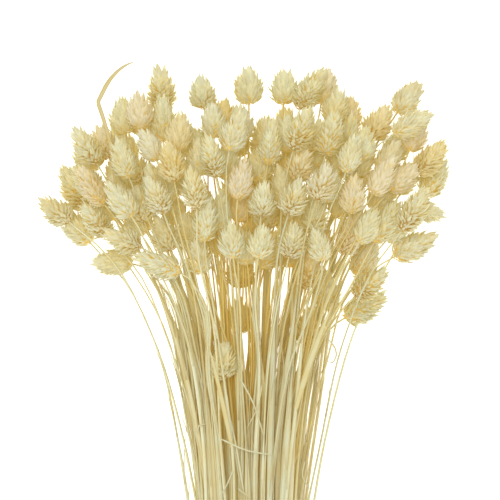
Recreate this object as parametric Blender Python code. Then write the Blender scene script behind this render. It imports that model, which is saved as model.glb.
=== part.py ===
"""A bunch of dried, bleached canary grass, as it lies on a table with its seed heads towards +Y.

135 cut stalks lie together, each with one oval seed head covered in pointed glumes. Three neighbouring
stalks, pressed into one foot at their cut ends, make one sheaf, and each sheaf is one object. The stalks
fan out from the feet, bend round one another without touching, and end in a low heap of heads.
"""

import math

import bmesh
import bpy
import numpy as np

MM = 0.001

# Driving sizes, in millimetres. X is measured from the middle of the picture and Y from the line where
# the stalks leave it. CENTRE is the middle of the bunch there, and becomes the origin.
CENTRE = (-4.7, 75.6)
CUT_END_Y = -200.0
CUT_RAGGED = 14.0
FOOT_TOP_Y = -150.0
FOOT_RADIUS = 3.4
FOOT_GAP = 0.8
BUNDLE_HALF_WIDTH = 36.0
BUNDLE_HEIGHT = 44.0
HEAP_HEIGHT = 98.0
HEAP_HALF_WIDTH = 185.0
HEAP_RUN = 230.0
HEAD_RADIUS = 10.0
HEAD_LENGTH = 36.0
SHORTEST_HEAD = 29.0
STALK_RADIUS = 0.9
SHEATH_THICKNESS = 1.05
BROAD_SHEATH = (2.2, 3.3)
NARROW_SHEATH = (1.1, 1.8)
STALK_COUNT = 135
STALKS_PER_SHEAF = 3
SEED = 22

# How the crown is filled: its sides, the curves of its lower and upper edges as a height and a bend, how
# many random places each inner head chooses from, and how much a gap counts along X, Y and Z.
CROWN_SIDES = (-118.0, 124.0)
CROWN_LOW = (184.0, 0.0018)
CROWN_HIGH = (302.0, -0.0015)
CROWN_TRIES = 40
GAP_WEIGHTS = np.array([1.0, 0.62, 0.45])
FAN = 0.27

# How the heap settles: the gaps that it keeps, how often it is pushed apart, and how long it stays loose.
CLEARANCE = 0.5
MATE_GAP = 1.2
FLOOR_GAP = 1.2
SETTLE_STEPS = 450
LOOSE_SHARE = 0.7
PAIR_STEPS = 15
PACK_STEPS = 900
SINK_STEPS = 500
FOOT_TURN = 12.0

# Leaf blades: how many a rule places, their size, and how far they keep from what they pass.
BLADE_COUNT = 12
BLADE_TRIES = 3000
BLADE_WIDTH = (3.0, 5.5)
BLADE_STEP = (12.0, 24.0)
BLADE_THICKNESS = 0.7
BLADE_GAP = 0.6
BLADE_SPACING = 12.0
BLADE_ROOT = 6.0
BLADE_TAPER = (0.8, 1.0, 0.85, 0.25)

# The thin flag leaf that stands up beside the bunch's left shoulder: the stalk that it grows from, its
# points as x and y, and its width.
FLAG_STALK = 1
FLAG_LEAF = ((-121, 293), (-122, 311), (-116, 331), (-95, 351))
FLAG_WIDTH = 2.4

# Where each stalk's path has its corners, as shares of the way from the foot's top to the head.
PATH_SHARES = np.array([0.0, 0.27, 0.53, 0.76, 0.92, 1.0])
LAST = len(PATH_SHARES) - 1

# How far each corner has gone from its place in the bundle to the head's: slowly at first, because the
# stalks stay bunched, and fast near the heads, where they flare. The height follows more evenly.
SPREAD = np.array([0.0, 0.05, 0.20, 0.42, 0.76, 1.0])
LIFT = np.array([0.0, 0.14, 0.36, 0.62, 0.88, 1.0])

# A head's rings of corners: share of its length, share of its radius. A pointed glume stands on every
# facet between them that points towards the tip, and ends further out, by a share of the radius, and
# further on, by a share of the length. HEAD_SPAN and HEAD_SWELL describe the head to its neighbours: the
# shares of its length that it fills, and its radius between them as a curve of the share.
HEAD_RINGS = ((0.06, 0.46), (0.21, 0.76), (0.41, 0.86), (0.61, 0.76), (0.80, 0.52))
HEAD_SIDES = 5
GLUME_OUT = 0.24
GLUME_ON = 0.10
HEAD_SPAN = np.array([0.06, 0.88])
HEAD_SWELL = (0.64, 1.35, -1.30)

# A foot is a prism of three sides: the angle from one to the next, and the turn that lays one side flat.
THIRD = 2.0 * math.pi / 3.0
FLAT_TURN = math.pi / 6.0

# The heads that make the bunch's outline: x and y of the head's foot, lean from +Y towards +X in degrees,
# length as seen from above, and height in the heap from 0, on the table, to 1, on top.
OUTLINE_HEADS = (
    (-146, 223, -51, 33, 0.6),
    (-122, 270, -32, 39, 0.7),
    (-116, 244, -42, 36, 0.4),
    (-122, 234, -30, 25, 0.1),
    (-100, 258, -20, 39, 0.9),
    (-106, 274, -16, 31, 0.5),
    (-110, 294, -5, 31, 0.2),
    (-94, 298, -3, 31, 0.3),
    (-82, 292, 2, 30, 0.1),
    (-72, 288, 3, 28, 0.4),
    (-62, 314, -8, 28, 0.2),
    (-42, 314, -6, 29, 0.3),
    (-36, 290, -3, 32, 0.7),
    (-22, 293, 1, 31, 0.4),
    (-2, 318, -3, 31, 0.2),
    (2, 288, -3, 34, 0.5),
    (24, 318, 3, 30, 0.2),
    (40, 314, 22, 28, 0.4),
    (58, 318, 9, 29, 0.2),
    (62, 302, 14, 31, 0.6),
    (77, 296, 6, 31, 0.2),
    (93, 290, 30, 32, 0.3),
    (90, 272, 5, 30, 0.9),
    (118, 311, 34, 35, 0.3),
    (113, 293, 61, 41, 0.8),
    (128, 280, 18, 34, 0.2),
    (133, 262, 43, 40, 0.7),
    (112, 248, 50, 34, 0.9),
    (142, 244, 25, 27, 0.1),
    (124, 236, 108, 35, 0.5),
    (103, 262, 30, 34, 0.6),
    (114, 208, 40, 30, 0.4),
    (100, 195, 62, 28, 0.2),
    (82, 163, 52, 22, 0.6),
    (78, 146, 66, 21, 0.2),
    (80, 178, 18, 26, 0.1),
    (53, 192, -12, 30, 0.9),
    (47, 170, 8, 27, 0.5),
    (62, 152, -10, 26, 0.3),
    (49, 124, 3, 33, 0.4),
    (-20, 98, 0, 33, 1.1),
    (-5, 134, -2, 29, 0.1),
    (-88, 203, -73, 38, 0.8),
    (-90, 190, -86, 34, 0.3),
    (-55, 183, -75, 28, 0.9),
    (-36, 182, -10, 31, 0.7),
    (-15, 194, -2, 30, 0.9),
    (-8, 170, 2, 29, 0.4),
    (-64, 200, -22, 30, 0.5),
)


def heap_height(x, y):
    """How high the heap stands over (x, y): a low bundle that swells into an oval mound of heads."""
    swell = np.clip(y / HEAP_RUN, 0.0, 1.0)
    swell = swell * swell * (3.0 - 2.0 * swell)
    across = np.sqrt(np.clip(1.0 - (x / HEAP_HALF_WIDTH) ** 2, 0.1, 1.0))
    return (BUNDLE_HEIGHT + (HEAP_HEIGHT - BUNDLE_HEIGHT) * swell) * across


def crown(rng):
    """A random place in the crown for an inner head's foot: x, y and share of the height, less in front."""
    x = rng.uniform(*CROWN_SIDES)
    low, high = (height + bend * x * x for height, bend in (CROWN_LOW, CROWN_HIGH))
    share = rng.uniform(0.05, 1.0)
    return x, rng.uniform(low, high - 0.2 * HEAP_HEIGHT * share), share


def inner_heads(rng, placed, count):
    """Fills the crown: each new head takes, of some random places, the one furthest from all the others."""
    points = [np.array([x, y, share * heap_height(x, y)]) for x, y, _, _, share in placed]
    heads = []
    for _ in range(count):
        best, best_gap = None, -1.0
        for _ in range(CROWN_TRIES):
            x, y, share = crown(rng)
            point = np.array([x, y, share * heap_height(x, y)])
            gap = np.min(np.linalg.norm((np.array(points) - point) * GAP_WEIGHTS, axis=1))
            if gap > best_gap:
                best, best_gap = (x, y, share, point), gap
        x, y, share, point = best
        points.append(point)
        lean = FAN * x + rng.normal(0.0, 9.0)
        rise = 6.0 + 44.0 * share * rng.uniform(0.1, 1.0)
        length = HEAD_LENGTH * rng.uniform(0.86, 1.16)
        heads.append((x, y, lean, length * math.cos(math.radians(rise)), share))
    return heads


def head_axis(lean, rise):
    """Unit vector of a head that leans from +Y towards +X and rises above the table, in degrees."""
    lean, rise = math.radians(lean), math.radians(rise)
    return np.array([math.sin(lean) * math.cos(rise), math.cos(lean) * math.cos(rise), math.sin(rise)])


def place_heads(rng):
    """Feet, axes, lengths, radii, turns and heap shares of all the heads."""
    rows = list(OUTLINE_HEADS)
    rows += inner_heads(rng, rows, STALK_COUNT - len(rows))
    feet, axes, lengths, radii, turns, shares = [], [], [], [], [], []
    for x, y, lean, seen, share in rows:
        length = max(seen, SHORTEST_HEAD)
        rise = math.degrees(math.acos(min(1.0, seen / length)))
        radius = HEAD_RADIUS * rng.uniform(0.92, 1.08)
        floor = radius + FLOOR_GAP
        z = floor + share * max(heap_height(x, y) - 2.0 * floor, 0.0)
        axis = head_axis(lean, rise)
        feet.append([x, y, max(z - 0.5 * length * axis[2], floor)])
        axes.append(axis)
        lengths.append(length)
        radii.append(radius)
        turns.append(rng.uniform(0.0, 2.0 * math.pi))
        shares.append(share)
    return tuple(np.array(v) for v in (feet, axes, lengths, radii, turns, shares))


def frame_of(axis):
    """The level unit vector at right angles to an axis, and the one that points up from it."""
    side = np.cross(axis, (0.0, 0.0, 1.0))
    side /= np.linalg.norm(side)
    return side, np.cross(side, axis)


def head_rings(axis, length, radius, turn):
    """The corners of a head's rings and its tip, measured from its foot; every other ring is half turned."""
    side, up = frame_of(axis)
    rings = []
    for k, (along, out) in enumerate(HEAD_RINGS):
        angles = turn + ((k % 2) * 0.5 + np.arange(HEAD_SIDES)) * (2.0 * math.pi / HEAD_SIDES)
        ways = np.cos(angles)[:, None] * side + np.sin(angles)[:, None] * up
        rings.append(along * length * axis + out * radius * ways)
    return np.array(rings), length * axis


def facet(k, i):
    """Ring and number of the corners of the facet of band k that points towards the head's tip."""
    step = (i + 1) % HEAD_SIDES
    return (k, i), (k, step), (k + 1, i if k % 2 == 0 else step)


def glume_tip(rings, k, i, axis, length, radius):
    """The point of the glume that stands on a facet: out from the head's axis and on towards its tip."""
    middle = np.mean([rings[ring][number] for ring, number in facet(k, i)], axis=0)
    outward = middle - np.dot(middle, axis) * axis
    return middle + GLUME_OUT * radius * outward / np.linalg.norm(outward) + GLUME_ON * length * axis


def head_floor(axis, length, radius, turn):
    """How high a head's foot stands when the head's lowest point just meets the table."""
    rings, tip = head_rings(axis, length, radius, turn)
    low = min(rings[..., 2].min(), tip[2])
    for k in range(len(rings) - 1):
        for i in range(HEAD_SIDES):
            low = min(low, glume_tip(rings, k, i, axis, length, radius)[2])
    return -low


def bundle_places(rng, feet, shares):
    """Where each stalk meets the bundle at the foot's top, as x and z in an oval lying on the table."""
    x = 0.25 * feet[:, 0] + rng.normal(0.0, 3.5, len(feet))
    x = np.clip(x, -BUNDLE_HALF_WIDTH, BUNDLE_HALF_WIDTH)
    room = BUNDLE_HEIGHT * np.sqrt(np.clip(1.0 - (x / (1.15 * BUNDLE_HALF_WIDTH)) ** 2, 0.2, 1.0))
    z = np.clip(shares + rng.normal(0.0, 0.05, len(feet)), 0.02, 0.98) * room
    return np.stack([x, z], axis=1)


def sheaves_of(places):
    """Groups the stalks in threes: the leftmost stalk left, with the two nearest to it."""
    left = list(np.argsort(places[:, 0], kind="stable"))
    groups = []
    while left:
        first = left.pop(0)
        left.sort(key=lambda j: float(np.hypot(*((places[j] - places[first]) * (1.0, 1.4)))))
        groups.append([first] + [left.pop(0) for _ in range(STALKS_PER_SHEAF - 1)])
        left.sort(key=lambda j: float(places[j, 0]))
    return groups


def pack_feet(places, groups):
    """Lets the sheaves' feet sink, pushing them apart until no two touch; the lowest lie on the table."""
    centres = np.array([places[g].mean(axis=0) for g in groups])
    need = 2.0 * FOOT_RADIUS + FOOT_GAP
    for step in range(PACK_STEPS):
        if step < SINK_STEPS:
            centres[:, 1] -= 0.04
            centres[:, 0] *= 0.999
        gap = centres[:, None] - centres[None]
        distance = np.linalg.norm(gap, axis=2) + np.eye(len(centres))
        push = np.clip(need - distance, 0.0, None) * (1.0 - np.eye(len(centres)))
        centres += 0.4 * (gap / distance[..., None] * push[..., None]).sum(axis=1)
        centres[:, 1] = np.maximum(centres[:, 1], 0.5 * FOOT_RADIUS)
    return centres


def lobe_order(bundle, feet, group, centre):
    """The sheaf's stalks in turn round its middle, and the turn of the foot that faces them best."""
    aim = bundle[group] + 0.12 * feet[group][:, ::2]
    around = aim - aim.mean(axis=0)
    angles = np.arctan2(around[:, 1], around[:, 0])
    order = np.argsort(angles, kind="stable")
    thirds = angles[order] - np.arange(STALKS_PER_SHEAF) * THIRD
    wanted = math.atan2(np.sin(thirds).mean(), np.cos(thirds).mean()) - FLAT_TURN
    whole = THIRD * round(wanted / THIRD)
    most = 0.0 if centre[1] < FOOT_RADIUS + FOOT_GAP else math.radians(FOOT_TURN)
    return [group[i] for i in order], FLAT_TURN + whole + float(np.clip(wanted - whole, -most, most))


def lobe_way(turn, lobe):
    """Unit vector, in x and z, from a foot's middle towards one of its three lobes."""
    return np.array([math.cos(turn + lobe * THIRD), math.sin(turn + lobe * THIRD)])


def stalk_widths(rng):
    """Half width and half thickness at each corner: a leaf sheath below, the thin bare stalk above."""
    broad = rng.uniform(0.0, 1.0, STALK_COUNT) < 0.4
    half = np.where(broad, rng.uniform(*BROAD_SHEATH, STALK_COUNT), rng.uniform(*NARROW_SHEATH, STALK_COUNT))
    sheath_end = rng.uniform(0.4, 0.9, STALK_COUNT)
    in_sheath = PATH_SHARES[None, :] < sheath_end[:, None]
    wide = np.where(in_sheath, half[:, None], STALK_RADIUS)
    thick = np.minimum(wide, SHEATH_THICKNESS)
    wide[:, 0], thick[:, 0] = 0.7 * FOOT_RADIUS, 0.5 * FOOT_RADIUS
    return wide, thick


def first_paths(rng, feet, axes, bundle):
    """Corners of each stalk's path: bunched at first, then flaring out, and bent towards the head's axis."""
    run = feet[:, 1] - FOOT_TOP_Y
    vary = rng.uniform(0.85, 1.2, (len(feet), 1))
    paths = np.empty((len(feet), LAST + 1, 3))
    paths[..., 1] = FOOT_TOP_Y + run[:, None] * PATH_SHARES
    for axis, column, profile in ((0, 0, SPREAD), (2, 1, LIFT)):
        first = bundle[:, column, None]
        paths[..., axis] = first + (feet[:, axis, None] - first) * profile ** vary
    step = run * (PATH_SHARES[LAST] - PATH_SHARES[LAST - 1])
    slope = np.clip(axes[:, 0] / np.maximum(axes[:, 1], 0.4), -1.6, 1.6)
    paths[:, LAST - 1, 0] = 0.6 * paths[:, LAST - 1, 0] + 0.4 * (feet[:, 0] - slope * step)
    paths[:, LAST - 1, 2] = np.maximum(paths[:, LAST - 1, 2] - 0.15 * axes[:, 2] * step, 4.0)
    wander = rng.normal(0.0, 2.0, (len(feet), LAST + 1))
    wander[:, [0, -1]] = 0.0
    wander[:, 1] *= 0.3
    paths[..., 0] += wander
    return paths


def nearest_shares(start_a, along_a, start_b, along_b):
    """Where pairs of straight pieces come nearest to each other, as shares of each piece."""
    aa = (along_a * along_a).sum(axis=1)
    bb = (along_b * along_b).sum(axis=1)
    ab = (along_a * along_b).sum(axis=1)
    gap = start_a - start_b
    ga, gb = (gap * along_a).sum(axis=1), (gap * along_b).sum(axis=1)
    on_a = np.clip((ab * gb - ga * bb) / np.maximum(aa * bb - ab * ab, 1e-6), 0.0, 1.0)
    on_b = np.clip((ab * on_a + gb) / bb, 0.0, 1.0)
    on_a = np.clip((ab * on_b - ga) / aa, 0.0, 1.0)
    return on_a, on_b


class Heap:
    """The stalks and heads as straight pieces, pushed apart in X and Z until nothing touches."""

    def __init__(self, paths, axes, lengths, radii, turns, wide, thick, sheaves):
        self.paths, self.home = paths, paths.copy()
        self.axes, self.lengths, self.radii, self.turns = axes, lengths, radii, turns
        self.wide, self.thick, self.sheaves = wide, thick, sheaves
        self.head_offsets = axes[:, None, :] * (lengths[:, None] * HEAD_SPAN)[..., None]
        self.floor = np.array([head_floor(*head) for head in zip(axes, lengths, radii, turns)])
        self.sheaf = np.zeros(len(paths), dtype=int)
        self.mates = []
        for number, (ordered, turn, _) in enumerate(sheaves):
            self.sheaf[ordered] = number
            for lobe in range(STALKS_PER_SHEAF):
                other = (lobe + 1) % STALKS_PER_SHEAF
                way = lobe_way(turn, lobe) - lobe_way(turn, other)
                self.mates.append((ordered[lobe], ordered[other], way / np.linalg.norm(way)))
        self.owner = np.repeat(np.arange(len(paths)), LAST + 1)
        self.kind = np.tile(np.arange(LAST + 1), len(paths))
        most = np.concatenate([np.maximum(wide[:, :-1], wide[:, 1:]), radii[:, None]], axis=1)
        self.most = most.reshape(-1)

    def pieces(self):
        """Start and run of every straight piece: each stalk's lengths between corners, then its head."""
        heads = self.paths[:, -1:, :] + self.head_offsets
        start = np.concatenate([self.paths[:, :-1], heads[:, :1]], axis=1).reshape(-1, 3)
        stop = np.concatenate([self.paths[:, 1:], heads[:, 1:]], axis=1).reshape(-1, 3)
        return start, stop - start

    def half_sizes(self, piece, share):
        """Half width and half thickness of pieces at shares of their length."""
        owner, kind = self.owner[piece], self.kind[piece]
        first, second = np.minimum(kind, LAST - 1), np.minimum(kind + 1, LAST)
        wide = (1.0 - share) * self.wide[owner, first] + share * self.wide[owner, second]
        thick = (1.0 - share) * self.thick[owner, first] + share * self.thick[owner, second]
        head = self.radii[owner] * np.polynomial.polynomial.polyval(share, HEAD_SWELL)
        is_head = kind == LAST
        return np.where(is_head, head, wide), np.where(is_head, head, thick)

    def near_pairs(self, margin):
        """Pairs of pieces of different stalks whose boxes come within the margin, heads first."""
        start, run = self.pieces()
        reach = self.most[:, None]
        low = np.minimum(start, start + run) - reach
        high = np.maximum(start, start + run) + reach + margin
        meet = self.owner[:, None] < self.owner[None, :]
        for axis in range(3):
            meet &= low[:, None, axis] < high[None, :, axis]
            meet &= low[None, :, axis] < high[:, None, axis]
        a, b = np.nonzero(meet)
        late = (self.kind[b] == LAST) & (self.kind[a] != LAST)
        return np.where(late, b, a), np.where(late, a, b)

    def touches(self, pairs):
        """Every place where two pieces come too near: pieces, shares, direction and depth.

        Each pair is looked at where its pieces are nearest, and at two fixed shares of the first piece. Less
        room is asked for just above the feet, where the stalks of one foot start from one place.
        """
        start, run = self.pieces()
        a, b = pairs
        spots = [nearest_shares(start[a], run[a], start[b], run[b])]
        for fixed in (0.3, 0.7):
            point = start[a] + fixed * run[a] - start[b]
            other = np.clip((point * run[b]).sum(axis=1) / (run[b] ** 2).sum(axis=1), 0.0, 1.0)
            spots.append((np.full(len(a), fixed), other))
        a, b = np.tile(a, len(spots)), np.tile(b, len(spots))
        on_a, on_b = (np.concatenate(shares) for shares in zip(*spots))
        place = start[a] + on_a[:, None] * run[a]
        gap = place - start[b] - on_b[:, None] * run[b]
        distance = np.linalg.norm(gap, axis=1)
        close = distance < self.most[a] + self.most[b] + CLEARANCE
        a, b, on_a, on_b = a[close], b[close], on_a[close], on_b[close]
        place, gap, distance = place[close], gap[close], distance[close]
        above = self.home[self.owner[a], -1, 2] > self.home[self.owner[b], -1, 2]
        gap[:, 2] += np.where(above, 0.02, -0.02)
        way = gap / np.linalg.norm(gap, axis=1)[:, None]
        upright = way[:, 2] ** 2
        need = np.full(len(a), CLEARANCE)
        for piece, share in ((a, on_a), (b, on_b)):
            wide, thick = self.half_sizes(piece, share)
            need += np.sqrt(wide**2 * (1.0 - upright) + thick**2 * upright)
        need *= 0.6 + 0.4 * np.clip((place[:, 1] - FOOT_TOP_Y) / 50.0, 0.0, 1.0)
        mates = self.sheaf[self.owner[a]] == self.sheaf[self.owner[b]]
        mates &= (self.kind[a] == 0) & (self.kind[b] == 0)
        deep = np.where(mates, 0.0, need - distance)
        hit = deep > 0.0
        return tuple(v[hit] for v in (a, b, on_a, on_b, way, deep))

    def part(self, pairs):
        """Moves the corners so that pieces that come too near part; a head yields less than a stalk."""
        a, b, on_a, on_b, way, deep = self.touches(pairs)
        level = np.maximum(way[:, 0] ** 2 + way[:, 2] ** 2, 0.3)
        push = way[:, ::2] * (deep / level)[:, None]
        a_head, b_head = self.kind[a] == LAST, self.kind[b] == LAST
        part_a = np.where(a_head & ~b_head, 0.3, np.where(b_head & ~a_head, 0.7, 0.5))[:, None]
        size = self.paths.shape[0] * self.paths.shape[1]
        moved, count = np.zeros((size, 2)), np.zeros(size)
        for piece, share, move in ((a, on_a, push * part_a), (b, on_b, -push * (1.0 - part_a))):
            is_head = self.kind[piece] == LAST
            first = self.owner[piece] * (LAST + 1) + self.kind[piece]
            second = np.where(is_head, first, first + 1)
            near, far = np.where(is_head, 0.0, 1.0 - share), np.where(is_head, 1.0, share)
            scale = 1.0 / np.maximum(near**2 + far**2, 0.5)
            for corner, weight in ((first, near), (second, far)):
                count += np.bincount(corner, weights=weight, minlength=size)
                for axis in range(2):
                    moved[:, axis] += np.bincount(
                        corner, weights=weight * scale * move[:, axis], minlength=size
                    )
        moved = (moved / np.maximum(count, 1.0)[:, None]).reshape(len(self.paths), LAST + 1, 2)
        self.paths[:, 1:, ::2] += 1.1 * moved[:, 1:]

    def part_mates(self):
        """Keeps the three stalks of a foot apart at their first corners, each on its own lobe's side."""
        first = self.paths[:, 1, ::2]
        for a, b, way in self.mates:
            deep = self.wide[a, 1] + self.wide[b, 1] + MATE_GAP - np.dot(first[a] - first[b], way)
            if deep > 0.0:
                first[a] += 0.5 * deep * way
                first[b] -= 0.5 * deep * way

    def settle(self):
        """Pushes apart, lets the heap sink a little, and keeps each stalk smooth and near its place."""
        for step in range(SETTLE_STEPS):
            if step % PAIR_STEPS == 0:
                pairs = self.near_pairs(4.0)
            loose = 1.0 - step / (LOOSE_SHARE * SETTLE_STEPS)
            if loose > 0.0:
                self.paths[:, 1:, 0] += 0.02 * loose * (self.home - self.paths)[:, 1:, 0]
                self.paths[:, 1:, 2] += 0.01 * loose * (self.home - self.paths)[:, 1:, 2]
                bend = 0.5 * (self.paths[:, :-2] + self.paths[:, 2:]) - self.paths[:, 1:-1]
                rest = 0.5 * (self.home[:, :-2] + self.home[:, 2:]) - self.home[:, 1:-1]
                self.paths[:, 1:-1, ::2] += 0.2 * loose * (bend - rest)[:, :, ::2]
                self.paths[:, -1, 2] -= 0.08 * loose
            self.part(pairs)
            self.part_mates()
            self.paths[:, -1, 2] = np.maximum(self.paths[:, -1, 2], self.floor)
            self.paths[:, 1:-1, 2] = np.maximum(self.paths[:, 1:-1, 2], self.thick[:, 1:-1])


def grow():
    """The settled heap of all the stalks and heads, with the sheaves that they belong to."""
    rng = np.random.default_rng(SEED)
    feet, axes, lengths, radii, turns, shares = place_heads(rng)
    bundle = bundle_places(rng, feet, shares)
    groups = sheaves_of(bundle)
    sheaves = []
    for group, centre in zip(groups, pack_feet(bundle, groups)):
        ordered, turn = lobe_order(bundle, feet, group, centre)
        for lobe, j in enumerate(ordered):
            bundle[j] = centre + FOOT_RADIUS / 3.0 * lobe_way(turn, lobe)
        sheaves.append((ordered, turn, centre))
    wide, thick = stalk_widths(rng)
    paths = first_paths(rng, feet, axes, bundle)
    heap = Heap(paths, axes, lengths, radii, turns, wide, thick, sheaves)
    heap.settle()
    return heap


class Solid:
    """Corners and facets of one closed mesh, in millimetres."""

    def __init__(self):
        self.corners, self.facets = [], []

    def add(self, points):
        """Adds corners and gives their numbers."""
        first = len(self.corners)
        self.corners.extend(points)
        return list(range(first, len(self.corners)))

    def bridge(self, low, high):
        """Joins two rings of as many corners with triangles, across the shorter way of each side."""
        for i in range(len(low)):
            j = (i + 1) % len(low)
            one = np.linalg.norm(self.corners[low[j]] - self.corners[high[i]])
            other = np.linalg.norm(self.corners[low[i]] - self.corners[high[j]])
            if one <= other:
                self.facets += [(low[i], low[j], high[i]), (low[j], high[j], high[i])]
            else:
                self.facets += [(low[i], low[j], high[j]), (low[i], high[j], high[i])]

    def stitch(self, low, high, axis):
        """Joins two rings of different counts, turning round the axis past whichever corner is next."""
        side, up = frame_of(axis)
        turns = []
        for ring in (low, high):
            points = np.array([self.corners[c] for c in ring])
            points = points - points.mean(axis=0)
            turns.append(np.unwrap(np.arctan2(points @ up, points @ side)))
        shift = int(np.argmin(np.abs(np.angle(np.exp(1j * (turns[1] - turns[0][0]))))))
        high = high[shift:] + high[:shift]
        start = turns[0][0]
        low_turns = turns[0] - start
        high_turns = np.roll(turns[1], -shift)
        high_turns = np.unwrap(high_turns - start)
        high_turns -= 2.0 * math.pi * round(float(high_turns[0]) / (2.0 * math.pi))
        low_turns = list(low_turns) + [2.0 * math.pi + low_turns[0]]
        high_turns = list(high_turns) + [2.0 * math.pi + high_turns[0]]
        i = j = 0
        while i < len(low) or j < len(high):
            a, b = low[i % len(low)], high[j % len(high)]
            if j == len(high) or (i < len(low) and low_turns[i + 1] < high_turns[j + 1]):
                self.facets.append((a, low[(i + 1) % len(low)], b))
                i += 1
            else:
                self.facets.append((a, high[(j + 1) % len(high)], b))
                j += 1


def stalk_ring(heap, j, k):
    """The three corners of a stalk's section at a corner of its path: two low ones and a keel on top."""
    paths = heap.paths
    back = paths[j, k] - paths[j, k - 1]
    on = paths[j, k + 1] - paths[j, k] if k < LAST else heap.axes[j]
    along = back / np.linalg.norm(back) + on / np.linalg.norm(on)
    side, up = frame_of(along / np.linalg.norm(along))
    low = paths[j, k] - 0.55 * heap.thick[j, k] * up
    out = 0.9 * heap.wide[j, k] * side
    return [low - out, low + out, paths[j, k] + heap.thick[j, k] * up]


class Leaf:
    """A leaf blade: the stalk and corner that it grows from, the side of the stalk, and its points."""

    def __init__(self, stalk, corner, side, points, width):
        self.stalk, self.corner, self.side = stalk, corner, side
        self.points, self.width = np.array(points, dtype=float), width

    def root(self, paths):
        """The middle of the short length of stalk that the blade grows from."""
        start = paths[self.stalk, self.corner]
        run = paths[self.stalk, self.corner + 1] - start
        return start + 0.5 * BLADE_ROOT * run / np.linalg.norm(run)

    def sections(self, paths):
        """Flat sections of four corners at the blade's points, thinner towards the tip."""
        chain = np.concatenate([[self.root(paths)], self.points])
        rings = []
        for k, share in enumerate(BLADE_TAPER, start=1):
            on = chain[min(k + 1, len(chain) - 1)] - chain[k - 1]
            across, up = frame_of(on / np.linalg.norm(on))
            half = 0.5 * self.width * share * across
            over = 0.5 * BLADE_THICKNESS * up
            rings.append([chain[k] + m * half + n * over for m, n in ((-1, -1), (1, -1), (1, 1), (-1, 1))])
        return rings

    def clears(self, heap, others):
        """Whether the blade keeps its gap to every stalk and head, and to the blades before it."""
        chain = np.concatenate([[self.root(heap.paths)], self.points])
        start, run = heap.pieces()
        every = np.arange(len(start))
        at_root = (heap.owner == self.stalk) & (np.abs(heap.kind - self.corner) < 2)
        for k in range(len(chain) - 1):
            along = chain[k + 1] - chain[k]
            for fixed in (None, 0.5, 1.0):
                far = every[~at_root] if k == 0 and fixed is None else every
                begin = chain[k] - start[far]
                if fixed is None:
                    runs = np.broadcast_to(along, (len(far), 3))
                    on_blade, on_piece = nearest_shares(chain[k] + 0.0 * runs, runs, start[far], run[far])
                else:
                    on_blade = np.full(len(far), fixed)
                    reach = ((begin + fixed * along) * run[far]).sum(axis=1)
                    on_piece = np.clip(reach / (run[far] ** 2).sum(axis=1), 0.0, 1.0)
                gap = begin + on_blade[:, None] * along - on_piece[:, None] * run[far]
                distance = np.linalg.norm(gap, axis=1)
                upright = (gap[:, 2] / np.maximum(distance, 0.01)) ** 2
                wide, thick = heap.half_sizes(far, on_piece)
                need = np.sqrt(wide**2 * (1.0 - upright) + thick**2 * upright) + BLADE_GAP
                need += 0.5 * np.sqrt(self.width**2 * (1.0 - upright) + BLADE_THICKNESS**2 * upright)
                if (distance < need).any():
                    return False
        for other in others:
            apart = np.linalg.norm(self.points[:, None] - other.points[None], axis=2)
            if apart.min() < 0.5 * (self.width + other.width) + BLADE_SPACING:
                return False
        return self.points[:, 2].min() > 1.0


def flag_leaf(heap):
    """The flag leaf, at the first height where it is clear of the heads round it."""
    start = heap.paths[FLAG_STALK, LAST - 1, 2]
    for lift in np.arange(0.0, 40.0, 1.0):
        points = [(x, y, start + lift - 1.5 * k) for k, (x, y) in enumerate(FLAG_LEAF)]
        leaf = Leaf(FLAG_STALK, LAST - 1, 1, points, FLAG_WIDTH)
        if leaf.clears(heap, []):
            return [leaf]
    return []


def random_leaf(rng, heap):
    """A blade that leaves a stalk at a narrow angle and arches over its neighbours."""
    stalk, corner = int(rng.integers(STALK_COUNT)), int(rng.integers(2, 4))
    side = int(rng.choice((-1, 1)))
    turn = math.radians(rng.uniform(2.0, 13.0)) * side
    step = rng.uniform(*BLADE_STEP)
    rise = rng.uniform(0.0, 0.4)
    on = heap.paths[stalk, corner + 1] - heap.paths[stalk, corner]
    heading = math.atan2(on[0], on[1])
    point = heap.paths[stalk, corner] + 0.5 * BLADE_ROOT * on / np.linalg.norm(on)
    points = []
    for k in range(len(BLADE_TAPER)):
        way = heading + turn * (1.0 + 0.25 * k)
        point = point + step * np.array([math.sin(way), math.cos(way), rise - 0.13 * k])
        points.append(point)
    return Leaf(stalk, corner, side, points, rng.uniform(*BLADE_WIDTH))


def place_leaves(rng, heap):
    """The flag leaf, then blades at random places, each kept if it is clear and inside the bunch's sides."""
    leaves = flag_leaf(heap)
    for _ in range(BLADE_TRIES):
        if len(leaves) > BLADE_COUNT:
            break
        leaf = random_leaf(rng, heap)
        inside = (np.abs(leaf.points[:, 0]) < 36.0 + 0.22 * leaf.points[:, 1]).all()
        if inside and leaf.clears(heap, leaves):
            leaves.append(leaf)
    return leaves


def add_head(solid, foot_ring, foot, axis, length, radius, turn):
    """Grows a head from the stalk's last section: rings of facets, each second one a pointed glume."""
    rings, tip = head_rings(axis, length, radius, turn)
    numbers = [solid.add(foot + ring) for ring in rings]
    solid.stitch(foot_ring, numbers[0], axis)
    for k in range(len(rings) - 1):
        for i in range(HEAD_SIDES):
            a, b, c = (numbers[ring][number] for ring, number in facet(k, i))
            (point,) = solid.add([foot + glume_tip(rings, k, i, axis, length, radius)])
            solid.facets += [(a, b, point), (b, c, point), (c, a, point)]
            step = (i + 1) % HEAD_SIDES
            ahead, after = (i, step) if k % 2 == 0 else (step, (step + 1) % HEAD_SIDES)
            solid.facets.append((numbers[k][step], numbers[k + 1][after], numbers[k + 1][ahead]))
    (point,) = solid.add([foot + tip])
    for i in range(HEAD_SIDES):
        solid.facets.append((numbers[-1][i], numbers[-1][(i + 1) % HEAD_SIDES], point))


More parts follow.
